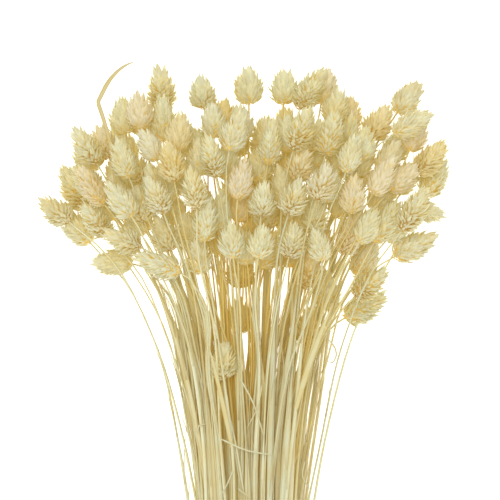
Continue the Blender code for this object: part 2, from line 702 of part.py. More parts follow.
def add_stalk(solid, base, rings, leaves):
    """Runs a three-sided stalk from its part of the foot's top, turned to suit, through its sections.

    A leaf grows from one side of the short length of stalk that follows its corner.
    """
    start = np.array([solid.corners[c] for c in base])
    start -= start.mean(axis=0)
    first = np.array(rings[0]) - np.mean(rings[0], axis=0)
    twist = [float(((np.roll(start, -n, axis=0) - first) ** 2).sum()) for n in range(3)]
    low = list(np.roll(base, -int(np.argmin(twist))))
    for k, ring in enumerate(rings, start=1):
        high = solid.add(ring)
        solid.bridge(low, high)
        low = high
        for side, sections in leaves.get(k, ()):
            run = np.mean(rings[k], axis=0) - np.mean(ring, axis=0)
            step = BLADE_ROOT * run / np.linalg.norm(run)
            high = solid.add([corner + step for corner in ring])
            first = 1 if side > 0 else 2
            second = (first + 1) % 3
            others = [i for i in range(3) if i != first]
            for i in others:
                j = (i + 1) % 3
                solid.facets += [(low[i], low[j], high[i]), (low[j], high[j], high[i])]
            add_blade(solid, [low[first], low[second], high[second], high[first]], sections)
            low = high
    return low


def add_blade(solid, base, sections):
    """Runs a blade from four corners on its stalk through its flat sections, and closes its tip."""
    start = np.array([solid.corners[c] for c in base])
    start -= start.mean(axis=0)
    first = np.array(sections[0]) - np.mean(sections[0], axis=0)
    ways = [(turn, flip) for turn in range(4) for flip in (1, -1)]
    cost = [float(((np.roll(start[::flip], -turn, axis=0) - first) ** 2).sum()) for turn, flip in ways]
    turn, flip = ways[int(np.argmin(cost))]
    low = list(np.roll(base[::flip], -turn))
    for section in sections:
        high = solid.add(section)
        solid.bridge(low, high)
        low = high
    solid.facets += [(low[0], low[1], low[2]), (low[0], low[2], low[3])]


def sheaf_solid(rng, heap, sheaf, leaves):
    """One sheaf: its three-sided foot, and a stalk with its head from each third of the foot's top."""
    solid = Solid()
    ordered, turn, centre = sheaf
    corners = [FOOT_RADIUS * lobe_way(turn + 0.5 * THIRD, lobe) + centre for lobe in (2, 0, 1)]
    cut_y = CUT_END_Y + rng.uniform(0.0, CUT_RAGGED)
    bottom = solid.add([np.array([x, cut_y, z]) for x, z in corners])
    top = solid.add([np.array([x, FOOT_TOP_Y, z]) for x, z in corners])
    (middle,) = solid.add([np.array([centre[0], FOOT_TOP_Y, centre[1]])])
    solid.facets.append(tuple(bottom))
    solid.bridge(bottom, top)
    for lobe, j in enumerate(ordered):
        base = [middle, top[lobe], top[(lobe + 1) % 3]]
        rings = [stalk_ring(heap, j, k) for k in range(1, LAST + 1)]
        own = {}
        for leaf in leaves:
            if leaf.stalk == j:
                own.setdefault(leaf.corner, []).append((leaf.side, leaf.sections(heap.paths)))
        last = add_stalk(solid, base, rings, own)
        add_head(solid, last, heap.paths[j, -1], heap.axes[j], heap.lengths[j], heap.radii[j], heap.turns[j])
    return solid


def make_object(name, solid, colour):
    """Turns a solid into an object with a material of its own, moved so that the bunch is centred."""
    mesh = bpy.data.meshes.new(name)
    corners = (np.array(solid.corners) - (CENTRE[0], CENTRE[1], 0.0)) * MM
    mesh.from_pydata(corners.tolist(), [], solid.facets)
    form = bmesh.new()
    form.from_mesh(mesh)
    bmesh.ops.recalc_face_normals(form, faces=form.faces)
    form.to_mesh(mesh)
    form.free()
    material = bpy.data.materials.new(name)
    material.use_nodes = True
    shader = material.node_tree.nodes["Principled BSDF"]
    shader.inputs["Base Color"].default_value = (*colour, 1.0)
    shader.inputs["Roughness"].default_value = 0.8
    shader.inputs["Metallic"].default_value = 0.0
    mesh.materials.append(material)
    bpy.context.collection.objects.link(bpy.data.objects.new(name, mesh))


def build():
    """Clears the scene and makes every sheaf."""
    for old in list(bpy.data.objects):
        bpy.data.objects.remove(old, do_unlink=True)
    heap = grow()
    rng = np.random.default_rng(SEED + 1)
    leaves = place_leaves(rng, heap)
    for number, sheaf in enumerate(heap.sheaves):
        solid = sheaf_solid(rng, heap, sheaf, leaves)
        warmth = rng.uniform(0.0, 1.0)
        colour = (0.80 - 0.05 * warmth, 0.70 - 0.08 * warmth, 0.52 - 0.12 * warmth)
        make_object(f"sheaf_{number + 1:02d}", solid, colour)


build()
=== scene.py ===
"""Looks for a bunch of dried, bleached canary grass, lying on a table with its seed heads towards +Y.

The first functions grow the same heap of stalks and heads as the plain sheaves have, from the same values,
in millimetres. The others dress every sheaf in a finer piece: hollow straws, open ribbed sheaths, leaf
blades, thin ribbons and frayed strips, and seed heads covered in pointed glumes.
"""

import math

import bpy
import numpy as np
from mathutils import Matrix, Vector


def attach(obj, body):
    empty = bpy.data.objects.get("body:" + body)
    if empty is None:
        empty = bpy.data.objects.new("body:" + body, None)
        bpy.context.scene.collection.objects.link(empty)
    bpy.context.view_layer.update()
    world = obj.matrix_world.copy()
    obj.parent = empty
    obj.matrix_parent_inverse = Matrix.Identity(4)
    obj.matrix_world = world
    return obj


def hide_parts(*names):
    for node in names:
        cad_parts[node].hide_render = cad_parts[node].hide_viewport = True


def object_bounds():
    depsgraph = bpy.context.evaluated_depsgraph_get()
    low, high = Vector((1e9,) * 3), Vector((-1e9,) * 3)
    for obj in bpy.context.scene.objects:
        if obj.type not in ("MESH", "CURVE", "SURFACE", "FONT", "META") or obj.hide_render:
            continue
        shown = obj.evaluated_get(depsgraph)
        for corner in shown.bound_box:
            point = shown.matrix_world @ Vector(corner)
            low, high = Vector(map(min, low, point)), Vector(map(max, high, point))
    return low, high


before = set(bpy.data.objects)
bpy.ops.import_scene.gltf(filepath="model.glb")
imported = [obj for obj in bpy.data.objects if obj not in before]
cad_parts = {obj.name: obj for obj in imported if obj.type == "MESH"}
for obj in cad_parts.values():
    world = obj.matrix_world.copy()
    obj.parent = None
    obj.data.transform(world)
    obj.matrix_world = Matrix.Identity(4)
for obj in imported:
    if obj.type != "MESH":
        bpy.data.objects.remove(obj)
cad_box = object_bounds()

MM = 0.001

# Driving sizes, in millimetres. X is measured from the middle of the picture and Y from the line where
# the stalks leave it. CENTRE is the middle of the bunch there, and becomes the origin.
CENTRE = (-4.7, 75.6)
CUT_END_Y = -200.0
CUT_RAGGED = 14.0
FOOT_TOP_Y = -150.0
FOOT_RADIUS = 3.4
FOOT_GAP = 0.8
BUNDLE_HALF_WIDTH = 36.0
BUNDLE_HEIGHT = 44.0
HEAP_HEIGHT = 98.0
HEAP_HALF_WIDTH = 185.0
HEAP_RUN = 230.0
LEAST_ROOM = 0.1
HEAD_RADIUS = 10.0
HEAD_LENGTH = 36.0
SHORTEST_HEAD = 29.0
STALK_RADIUS = 0.9
SHEATH_THICKNESS = 1.05
BROAD_SHEATH = (2.2, 3.3)
NARROW_SHEATH = (1.1, 1.8)
STALK_COUNT = 135
STALKS_PER_SHEAF = 3
SEED = 22

# How the crown is filled: its sides, the curves of its lower and upper edges as a height and a bend, how
# many random places each inner head chooses from, their heights as shares of the heap's, how much lower the
# upper edge is for high ones, and how much a gap counts along X, Y and Z.
CROWN_SIDES = (-118.0, 124.0)
CROWN_LOW = (184.0, 0.0018)
CROWN_HIGH = (302.0, -0.0015)
CROWN_TRIES = 40
CROWN_SHARES = (0.05, 1.0)
CROWN_DROP = 0.2
GAP_WEIGHTS = np.array([1.0, 0.62, 0.45])

# How the heads vary: the inner ones lean outwards by FAN degrees for each millimetre from the middle, with
# a stray, and rise from the table by a start and a span that grows with their height in the heap.
FAN = 0.27
LEAN_STRAY = 9.0
RISE_START, RISE_SPAN = 6.0, 44.0
RISE_VARY = (0.1, 1.0)
LENGTH_VARY = (0.86, 1.16)
RADIUS_VARY = (0.92, 1.08)

# Where the stalks meet the bundle: the share of its head's x that draws each one aside, and its stray; how
# round the bundle is, and how full at least; the stray and the span of the heights; and how x and height
# count in choosing the threes.
BUNDLE_PULL = 0.25
BUNDLE_STRAY = 3.5
BUNDLE_ROUND = 1.15
LEAST_ROUND = 0.2
HEIGHT_STRAY = 0.05
HEIGHT_SPAN = (0.02, 0.98)
MATE_WEIGHTS = (1.0, 1.4)

# How the feet are packed: the steps in all and those in which they sink, how far they sink and draw in at
# each, how hard they are pushed apart, how far a foot off the table may turn, in degrees, and how much its
# heads' places count in turning it.
PACK_STEPS = 900
SINK_STEPS = 500
SINK_STEP = 0.04
DRAW_IN = 0.999
PACK_PUSH = 0.4
FOOT_TURN = 12.0
AIM_SHARE = 0.12

# The stalks: the share that has a broad sheath, where sheaths end, and the half width and half thickness at
# the foot, as shares of its radius. Then their paths: how the spread varies; how far the last corner before
# the head is bent towards the head's axis, whose slope is held within limits, and dips under it, but not
# below a height; and how the corners wander, the first one less.
BROAD_SHARE = 0.4
SHEATH_ENDS = (0.4, 0.9)
FOOT_WIDE, FOOT_THICK = 0.7, 0.5
SPREAD_VARY = (0.85, 1.2)
FORWARD = 0.4
STEEPEST = 1.6
BEND_IN = 0.4
DIP = 0.15
LOWEST_BEND = 4.0
WANDER = 2.0
FIRST_WANDER = 0.3

# How the heap settles: the gaps that it keeps between any two pieces, the stalks of one foot, and heads and
# the table; its steps, the share of them in which it is loose, and how often near pairs are looked up, and
# how near. A pair is looked at where it is nearest and at two more shares of its first piece, and a small
# lift breaks a tie. Near the feet less room is asked for, and more over the length FOOT_EASE.
CLEARANCE = 0.5
MATE_GAP = 1.2
FLOOR_GAP = 1.2
SETTLE_STEPS = 450
LOOSE_SHARE = 0.7
PAIR_STEPS = 15
PAIR_MARGIN = 4.0
LOOK_SHARES = (0.3, 0.7)
TIE_BREAK = 0.02
FOOT_ROOM, FOOT_EASE = 0.6, 50.0

# How a push is shared and overdone: its level part counts as at least LEAST_LEVEL, a head yields less than
# a stalk, and a corner's lever is at least LEAST_LEVER. A heap that is still loose is drawn back to its
# place, straightens its stalks, and lets its heads sink.
LEAST_LEVEL = 0.3
HEAD_YIELD, STALK_YIELD = 0.3, 0.7
LEAST_LEVER = 0.5
OVERSHOOT = 1.1
PULL_HOME_X, PULL_HOME_Z = 0.02, 0.01
STIFFNESS = 0.2
HEAP_SINK = 0.08

# Leaf blades: how many a rule places and how often it tries; their width, step from point to point and
# thickness; the gap to what they pass and between their own points; the length of stalk that they grow from;
# how many points they have; how they turn off in degrees, curl, rise and droop; how low they may come; and
# the sides that they stay inside, as a half width and how it grows with Y.
BLADE_COUNT = 12
BLADE_TRIES = 3000
BLADE_WIDTH = (3.0, 5.5)
BLADE_STEP = (12.0, 24.0)
BLADE_THICKNESS = 0.7
BLADE_GAP = 0.6
BLADE_SPACING = 12.0
BLADE_ROOT = 6.0
BLADE_POINTS = 4
BLADE_TURN = (2.0, 13.0)
BLADE_CURL = 0.25
BLADE_RISE = (0.0, 0.4)
BLADE_DROOP = 0.13
BLADE_LOWEST = 1.0
BLADE_SIDE, BLADE_FAN = 36.0, 0.22

# The thin flag leaf that stands up beside the bunch's left shoulder: the stalk that it grows from, its
# points as x and y, its width, how far it droops from point to point, and the lifts that are tried for it.
FLAG_STALK = 1
FLAG_LEAF = ((-121, 293), (-122, 311), (-116, 331), (-95, 351))
FLAG_WIDTH = 2.4
FLAG_DROOP = 1.5
FLAG_LIFTS = np.arange(0.0, 40.0, 1.0)

# Where each stalk's path has its corners, as shares of the way from the foot's top to the head.
PATH_SHARES = np.array([0.0, 0.27, 0.53, 0.76, 0.92, 1.0])
LAST = len(PATH_SHARES) - 1

# How far each corner has gone from its place in the bundle to the head's: slowly at first, because the
# stalks stay bunched, and fast near the heads, where they flare. The height follows more evenly.
SPREAD = np.array([0.0, 0.05, 0.20, 0.42, 0.76, 1.0])
LIFT = np.array([0.0, 0.14, 0.36, 0.62, 0.88, 1.0])

# A head's rings of corners: share of its length, share of its radius. A pointed glume stands on every
# facet between them that points towards the tip, and ends further out, by a share of the radius, and
# further on, by a share of the length. HEAD_SPAN and HEAD_SWELL describe the head to its neighbours: the
# shares of its length that it fills, and its radius between them as a curve of the share.
HEAD_RINGS = ((0.06, 0.46), (0.21, 0.76), (0.41, 0.86), (0.61, 0.76), (0.80, 0.52))
HEAD_SIDES = 5
GLUME_OUT = 0.24
GLUME_ON = 0.10
HEAD_SPAN = np.array([0.06, 0.88])
HEAD_SWELL = (0.64, 1.35, -1.30)

# A foot is a prism of three sides: the angle from one to the next, and the turn that lays one side flat.
THIRD = 2.0 * math.pi / 3.0
FLAT_TURN = math.pi / 6.0

# The heads that make the bunch's outline: x and y of the head's foot, lean from +Y towards +X in degrees,
# length as seen from above, and height in the heap from 0, on the table, to 1, on top.
OUTLINE_HEADS = (
    (-146, 223, -51, 33, 0.6),
    (-122, 270, -32, 39, 0.7),
    (-116, 244, -42, 36, 0.4),
    (-122, 234, -30, 25, 0.1),
    (-100, 258, -20, 39, 0.9),
    (-106, 274, -16, 31, 0.5),
    (-110, 294, -5, 31, 0.2),
    (-94, 298, -3, 31, 0.3),
    (-82, 292, 2, 30, 0.1),
    (-72, 288, 3, 28, 0.4),
    (-62, 314, -8, 28, 0.2),
    (-42, 314, -6, 29, 0.3),
    (-36, 290, -3, 32, 0.7),
    (-22, 293, 1, 31, 0.4),
    (-2, 318, -3, 31, 0.2),
    (2, 288, -3, 34, 0.5),
    (24, 318, 3, 30, 0.2),
    (40, 314, 22, 28, 0.4),
    (58, 318, 9, 29, 0.2),
    (62, 302, 14, 31, 0.6),
    (77, 296, 6, 31, 0.2),
    (93, 290, 30, 32, 0.3),
    (90, 272, 5, 30, 0.9),
    (118, 311, 34, 35, 0.3),
    (113, 293, 61, 41, 0.8),
    (128, 280, 18, 34, 0.2),
    (133, 262, 43, 40, 0.7),
    (112, 248, 50, 34, 0.9),
    (142, 244, 25, 27, 0.1),
    (124, 236, 108, 35, 0.5),
    (103, 262, 30, 34, 0.6),
    (114, 208, 40, 30, 0.4),
    (100, 195, 62, 28, 0.2),
    (82, 163, 52, 22, 0.6),
    (78, 146, 66, 21, 0.2),
    (80, 178, 18, 26, 0.1),
    (53, 192, -12, 30, 0.9),
    (47, 170, 8, 27, 0.5),
    (62, 152, -10, 26, 0.3),
    (49, 124, 3, 33, 0.4),
    (-20, 98, 0, 33, 1.1),
    (-5, 134, -2, 29, 0.1),
    (-88, 203, -73, 38, 0.8),
    (-90, 190, -86, 34, 0.3),
    (-55, 183, -75, 28, 0.9),
    (-36, 182, -10, 31, 0.7),
    (-15, 194, -2, 30, 0.9),
    (-8, 170, 2, 29, 0.4),
    (-64, 200, -22, 30, 0.5),
)

# Looks. Sizes are in millimetres, a share runs from 0 to 1, and a curve is a pair of rows: shares, and the
# values there.

# The numbers of the finishes, the values that are painted on every point, and how far the way across has
# to go to count as a rim, which is sharp. On a round straw it stays under that.
CHAFF, STRAW, PAPER = 0, 1, 2
PAINTS = ("along", "across", "tint", "gold", "grain", "spot")
RIM = 0.95
ROUND_ACROSS = 0.9

# Straws: their sides and points along, the curve of the radius and how it varies, and how far from its
# foot's middle each stands at the cut end. The bore there has three rings, from its closed bottom up: their
# depths, and their radii as shares of the straw's. A straw runs into its head by a share of the head's
# length, and closes with a ring of CLOSED_RADIUS. TABLE_GAP keeps straws and sheaths off the table.
STRAW_SIDES = 8
STRAW_STATIONS = 28
STRAW_RADII = (0.0, 0.35, 0.62, 0.8, 0.96, 1.0), (1.25, 1.12, 0.95, 0.76, 0.66, 0.7)
STRAW_VARY = (0.85, 1.1)
STRAW_SPREAD = 1.35
BORE_DEPTHS = np.array([4.0, 4.0, 0.0])
BORE_RADII = np.array([0.02, 0.62, 0.62])
FOOTHOLD = 0.12
CLOSED_RADIUS = 0.02
TABLE_GAP = 0.1

# Sheaths: points across and along, and on the line that they are cut from; the skin of every band, and how
# wide the inner row of a blade is beside the outer; and the ribs. FOOT_SHARE of a stalk's line lies below
# its path, and a sheath ends a little past the plain one. Then its least half width, its height at most and
# over the straw, its half width under a head, and how it narrows with the way out to the heap's side.
SHEATH_POINTS = 9
SHEATH_STATIONS = 24
SHEATH_LINE = 90
SHEATH_SKIN = 0.3
INNER_WIDTH = 0.98
SHEATH_RIB = 0.16
FOOT_SHARE = 0.12
SHEATH_PAST = 0.06
LEAST_SHEATH = 1.3
HIGHEST_SHEATH = 1.45
SHEATH_OVER = 0.15
UNDER_HEAD = 0.9
EDGE_WIDTHS = (0.7, 0.95, 1.3), (1.0, 0.72, 0.5)

# How a sheath narrows to its point: over which last share, to which least, with which bend, and how much of
# its reach, width and height is left there. Its reach round the straw, in degrees to each side, is small
# where it is broad. It rolls a little, and its sides wave.
CLOSING_SHARE = 0.2
CLOSING_LEAST = 0.04
CLOSING_BEND = 0.7
LEFT_REACH, LEFT_WIDTH, LEFT_HEIGHT = 0.4, 0.2, 0.8
BROAD_FROM = 1.9
BROAD_REACH = (82.0, 105.0)
NARROW_REACH = (120.0, 150.0)
SHEATH_ROLL = 30.0
WAVE_SIZE = 0.08
WAVE_COUNT = (1.5, 3.0)

# Leaf blades. The flag leaf bends sharply where it stands highest: its line as x and y, and which of the
# plain leaf's points gives each one its height. It has a taper and a tan tint of its own.
LEAF_STATIONS = 40
LEAF_POINTS = 5
LEAF_FOLD = 0.25
LEAF_GOLD = 0.3
LEAF_TAPER = (0.0, 0.3, 0.7, 1.0), (0.7, 1.0, 0.8, 0.06)
FLAG_LINE = (
    (-115, 297), (-121.6, 317.3), (-122, 318.4), (-121.4, 319.5), (-111, 338), (-102.5, 346.2), (-91, 352),
)
FLAG_HEIGHTS = [0, 1, 1, 1, 2, 2, 3]
FLAG_TAPER = (0.0, 0.3, 0.45, 0.75, 0.92, 1.0), (0.7, 0.9, 1.35, 1.55, 0.9, 0.1)
FLAG_TINT = 0.95

# Strips have STRIP_POINTS across and a taper. Thin ribbons run beside the stalks, cut from a line of
# FINE_STATIONS points. Each kind has a count, the spans of its two ends as shares of the line, and the span
# of its width. High ones stand beside stalks whose middle is less far out than HIGH_LEVEL, and crown ones
# beside those whose head stands above CROWN_RIBBON_Y and is less far out than CROWN_LEVEL. Then how much a
# ribbon turns round its stalk, how far off it starts and strays, and its least height, fold and roll.
STRIP_POINTS = 3
STRIP_TAPER = (0.0, 0.1, 0.8, 1.0), (0.4, 1.0, 0.8, 0.1)
FINE_STATIONS = 600
RIBBON_STATIONS = 14
LOW_RIBBONS = (5, (0.0, 0.45), (0.55, 0.9), (0.4, 1.3))
HIGH_RIBBONS = (3, (0.5, 0.75), (0.9, 0.985), (1.0, 2.6))
CROWN_RIBBONS = (4, (0.76, 0.88), (0.95, 0.995), (1.6, 3.4))
HIGH_LEVEL = 0.7
CROWN_LEVEL = 0.8
CROWN_RIBBON_Y = 255.0
RIBBON_TURN = 1.2
RIBBON_AWAY = (1.2, 2.4)
RIBBON_STRAY = (-0.5, 2.2)
RIBBON_FLOOR = 0.6
RIBBON_FOLD = 0.3
RIBBON_ROLL = 0.6

# Frayed tongues on the sheaths: how many at most, their points, run, width and taper, the power by which
# they curl away, how far aside and up, how high they start, and how they roll and are painted.
TONGUES = 3
TONGUE_STATIONS = 12
TONGUE_RUN = (18.0, 60.0)
TONGUE_WIDTH = (0.4, 1.5)
TONGUE_TAPER = (0.0, 0.4, 1.0), (1.0, 0.8, 0.1)
TONGUE_CURL = 1.6
TONGUE_ASIDE = 0.24
TONGUE_RISE = (0.0, 0.15)
TONGUE_START = 1.2
TONGUE_ROLL = 0.8
TONGUE_GOLD = 0.1

# Loose strips on the heap: the line of each from above, from the stalk that it is frayed from, and its
# width. A strip lies a gap over the highest stalk within reach, and at most STRIP_SAG below its own highest
# point.
LOOSE_STRIPS = (
    (((-24.0, 49.6), (-2.4, 40.0), (20.0, 36.0)), 1.5),
    (((-8.0, 97.6), (1.6, 80.0), (12.0, 48.0)), 1.4),
    (((-42.4, 54.4), (-40.8, 59.2), (-35.2, 60.8)), 1.6),
    (((-9.6, 9.6), (-4.8, 5.6), (1.6, 1.6)), 1.3),
    (((63.2, 128.0), (68.0, 121.6), (68.8, 114.4), (64.8, 109.6), (61.6, 111.2)), 1.5),
    (((-13.6, 24.0), (-18.4, 12.8), (-24.8, 1.6)), 1.2),
    (((9.6, 92.8), (6.4, 76.0), (-2.4, 57.6)), 1.1),
    (((44.0, 30.4), (42.4, 17.6), (48.0, 8.0)), 1.2),
)
STRIP_STATIONS = 20
STRIP_REACH = 5.0
STRIP_GAP = 6.0
STRIP_SAG = 4.0
STRIP_FOLD = 0.2
STRIP_PAINT = {"tint": 0.3, "grain": 0.4}

# Seed heads against the plain ones: how far they rise, how much longer they are, as far as the box has room
# less a margin, and how short at least; how their radius varies, how much thicker hidden ones are, and below
# which share of the heap's height a head is hidden; and how they lean. HEAD_CLEAR is the share of a plain
# head's radius that ribbons and sheaths keep out of.
HEAD_REST = 0.5
HEAD_STRETCH = (1.18, 1.40)
LEAST_STRETCH = 0.85
HEAD_MARGIN = 1.5
HEAD_VARY = (0.97, 1.06)
HIDDEN_SWELL = 0.16
HIDDEN_BELOW = 0.6
HEAD_LEAN = 0.05
HEAD_CLEAR = 0.95

# A head's core: its rings and sides, the curve of its radius as a share of the head's, where it starts and
# how long it is as shares of the head's length, and what is painted on it: one value along, which gives it
# the glumes' golden foot colour, and a curve of brown. Both are partly its own colour and partly painted
# shade under the glumes.
CORE_RINGS = 10
CORE_SIDES = 8
CORE_RADII = (
    (0.0, 0.03, 0.12, 0.26, 0.42, 0.60, 0.78, 0.92, 1.0),
    (0.0, 0.20, 0.40, 0.54, 0.57, 0.47, 0.29, 0.14, 0.0),
)
CORE_START = -0.03
CORE_RUN = 0.87
CORE_ALONG = 0.12
CORE_SPOT = (0.0, 0.5, 0.7), (0.7, 0.6, 0.0)

# A glume: its heights, and its width, keel and bow there. Then its faces: rows of quads round its three
# sides, a point of three triangles, and a base. Its last point is its tip.
GLUME_LENGTH = 9.0
GLUME_WIDTH = 3.5
GLUME_STATIONS = np.array([0.0, 0.30, 0.64, 1.0])
GLUME_WIDTHS = np.array([0.55, 1.0, 0.66, 0.0])
GLUME_KEEL = np.array([0.14, 0.42, 0.30, 0.0])
GLUME_BOW = np.array([0.0, 0.07, 0.06, 0.0])
GLUME_TIP = 9
GLUME_QUADS = np.array([
    [3 * row + i, 3 * row + (i + 1) % 3, 3 * row + 3 + (i + 1) % 3, 3 * row + 3 + i]
    for row in range(GLUME_TIP // 3 - 1) for i in range(3)
])[:, ::-1]
GLUME_TRIANGLES = np.array([[6, 7, 9], [7, 8, 9], [8, 6, 9], [0, 2, 1]])[:, ::-1]

# How the glumes stand on the core: how many, over which share of the head's length, how deep they root, the
# angle from one to the next, and the span of the first one's. The core's area is added up in steps, with a
# little more for each. The tilt from the axis is in degrees; glumes are more or less loose at the foot, and
# gape where the head is spotted, and for each degree they shrink a little. Then the curve of their size, how
# it varies, and how angles, tilts and rolls stray.
HEAD_GLUMES = 200
GLUMES_RUN = 0.80
GLUME_ROOT = 0.84
GOLDEN_ANGLE = math.pi * (3.0 - math.sqrt(5.0))
WHOLE_TURN = 6.28
AREA_STEPS = 200
AREA_LEAST = 0.10
TILT = (0.0, 0.12, 0.3, 0.6, 0.85, 1.0), (72.0, 55.0, 42.0, 31.0, 20.0, 9.0)
LOOSENESS = (-3.0, 8.0)
GAPE = 20.0
GAPING = (0.05, 0.2, 0.5, 0.8), (0.0, 1.0, 0.9, 0.0)
GAPE_SHRINK = 0.004
GLUME_SIZES = (0.0, 0.15, 0.8, 1.0), (0.5, 0.88, 1.0, 1.1)
GLUME_VARY = (0.8, 1.18)
ANGLE_STRAY = 0.07
TILT_STRAY = 8.0
ROLL_STRAY = 0.25

# Which heads are spotted with brown between their lower glumes, partly the seeds' own colour and partly
# painted shade in the gaps: a share of all, and those not too low in the heap that lie near these places, as
# x and y. A head is looked for at a share of its length. Then the curve of brown from the foot up, and how
# it varies.
SPOTTED = 0.38
BROWN_HEADS = (
    (-20.0, 117.0), (-81.0, 256.0), (-26.0, 252.0), (-18.0, 215.0), (-54.0, 208.0), (24.0, 212.0),
    (116.0, 230.0), (92.0, 268.0), (-96.0, 212.0), (-60.0, 236.0), (44.0, 236.0), (76.0, 212.0),
)
BROWN_REACH = 11.0
BROWN_ABOVE = 0.35
BROWN_PLACE = 0.4
SPOTS = (0.0, 0.4, 0.65), (1.0, 0.9, 0.0)
SPOT_VARY = (0.3, 1.0)

# How golden a head is: a little by chance, as its own tone, and as painted shade, much where it hangs low
# inside the heap and some where it hides behind others inside the crown. Low begins at LOW_FROM and is full
# LOW_SPAN further down; the crown is an oval with a middle, half sizes and a soft edge.
CHANCE_GOLD, LOW_GOLD, CROWN_GOLD = 0.1, 0.8, 0.3
LOW_FROM, LOW_SPAN = 215.0, 60.0
CROWN_MIDDLE_Y, CROWN_HALF_X, CROWN_HALF_Y = 240.0, 150.0, 75.0
CROWN_EDGE = 1.3

# How deep a place lies in the heap, which sets the painted shade: gold painted on the deep parts, where
# shade falls. Rows across it, the percentile of the stalks there that counts as its side and top, how far
# past a stalk's end it still counts, how much the way out to the side counts, where the painted gold starts,
# and how fast it grows.
SHADE_ROWS = 24
SHADE_PERCENTILE = 96
ROW_REACH = 1.0
SIDE_WEIGHT = 0.8
SHADE_START = 0.16
SHADE_GAIN = 1.9


def colour(red, green, blue):
    """An opaque colour from its three linear parts."""
    return (red, green, blue, 1.0)


# Finishes, in the order of their numbers: tints by the painted tint, fibres as lines across, drift along and
# how dark they are, roughness, the fibres' relief, and a painted glow, emission that lifts the shade and
# stands in for light through the chaff: by which paint, from where to where, and how much least and most.
# Chaff has a bright and a deep colour at its foot, which fade between two heights, partly its own colour and
# partly painted shade where glumes overlap; paper has a golden-brown margin, partly its own and partly
# painted shade between strips.
FINISHES = (
    {
        "name": "Chaff",
        "tints": (
            (0.0, colour(0.72, 0.75, 0.59)),
            (0.45, colour(0.73, 0.75, 0.55)),
            (0.7, colour(0.70, 0.75, 0.60)),
            (0.86, colour(0.76, 0.72, 0.58)),
            (1.0, colour(0.75, 0.69, 0.42)),
        ),
        "fibres": (2.5, 0.8, 0.17),
        "roughness": 0.75,
        "relief": 0.25,
        "painted_glow": ("along", 0.0, 0.7, 0.12, 0.20),
        "base": (colour(0.76, 0.62, 0.24), colour(0.30, 0.15, 0.03), 0.0, 0.5),
    },
    {
        "name": "Straw",
        "tints": (
            (0.0, colour(0.72, 0.76, 0.56)),
            (0.6, colour(0.74, 0.72, 0.46)),
            (1.0, colour(0.74, 0.63, 0.30)),
        ),
        "fibres": (3.0, 8.0, 0.5),
        "roughness": 0.5,
        "relief": 0.6,
        "painted_glow": ("gold", 1.0, 0.0, 0.05, 0.10),
    },
    {
        "name": "Papery sheath",
        "tints": (
            (0.0, colour(0.73, 0.78, 0.60)),
            (0.6, colour(0.75, 0.76, 0.53)),
            (1.0, colour(0.76, 0.70, 0.44)),
        ),
        "fibres": (3.0, 6.0, 0.4),
        "roughness": 0.6,
        "relief": 0.7,
        "painted_glow": ("gold", 1.0, 0.0, 0.05, 0.10),
        "margin": 0.65,
    },
)

# What the finishes share: gold, the colour and the span across of golden-brown margins, which are partly
# painted shade, the colour of the painted glow and its share, how the grain darkens and lightens, gloss, and
# the relief's height in metres.
GOLD = colour(0.72, 0.57, 0.19)
MARGIN_GOLD_AND_SHADE = colour(0.52, 0.36, 0.09)
MARGIN_SPAN = (0.45, 1.0)
PAINTED_GLOW_COLOUR = colour(1.0, 0.64, 0.08)
PAINTED_GLOW_SHARE = 0.75
GRAIN_LIGHT = (0.9, 1.06)
GLOSS = 0.15
RELIEF_HEIGHT = 0.0004
WHITE = colour(1.0, 1.0, 1.0)
BLACK = colour(0.0, 0.0, 0.0)

# Noises, as scale, detail and, for one, roughness: broad and fine fibres, the share of the fine ones in the
# relief, the span that makes a streak, and how far the grain shifts them from one part to the next; then
# the soft blotches of bleaching, the span that makes one, and how golden it is.
BROAD_FIBRES = (1.0, 3.0, 0.6)
FINE_FIBRES = (3.1, 1.0)
FINE_SHARE = 0.5
STREAK_SPAN = (0.32, 0.68)
GRAIN_SHIFT = 40.0
BLOTCHES = (45.0, 2.0)
BLOTCH_SPAN = (0.4, 0.7)
BLOTCH_GOLD = 0.3

# The stage, in metres and watts. The camera's frame is FRAME_WIDTH wide at the height of the upper stalks,
# and its lower edge lies where the picture's does.
FRAME_WIDTH = 0.4
CAMERA_HEIGHT = 4.0
CAMERA_REACH = 100.0
FOCUS_HEIGHT = 0.05
FLOOR_SIZE = 30.0
FLOOR_HEIGHT = -0.0005
FLOOR_COLOUR = colour(0.9, 0.9, 0.9)
FLOOR_ROUGHNESS = 0.9
FLOOR_GLOW = 0.9
WORLD_LIGHT = 0.73
KEY_PLACE = (-0.6, 0.8, 5.0)
KEY_SIZE = 1.6
KEY_POWER = 80.0


def heap_height(x, y):
    """How high the heap stands over (x, y): a low bundle that swells into an oval mound of heads."""
    swell = np.clip(y / HEAP_RUN, 0.0, 1.0)
    swell = swell * swell * (3.0 - 2.0 * swell)
    across = np.sqrt(np.clip(1.0 - (x / HEAP_HALF_WIDTH) ** 2, LEAST_ROOM, 1.0))
    return (BUNDLE_HEIGHT + (HEAP_HEIGHT - BUNDLE_HEIGHT) * swell) * across


def crown(rng):
    """A random place in the crown for an inner head's foot: x, y and share of the height, less in front."""
    x = rng.uniform(*CROWN_SIDES)
    low, high = (height + bend * x * x for height, bend in (CROWN_LOW, CROWN_HIGH))
    share = rng.uniform(*CROWN_SHARES)
    return x, rng.uniform(low, high - CROWN_DROP * HEAP_HEIGHT * share), share


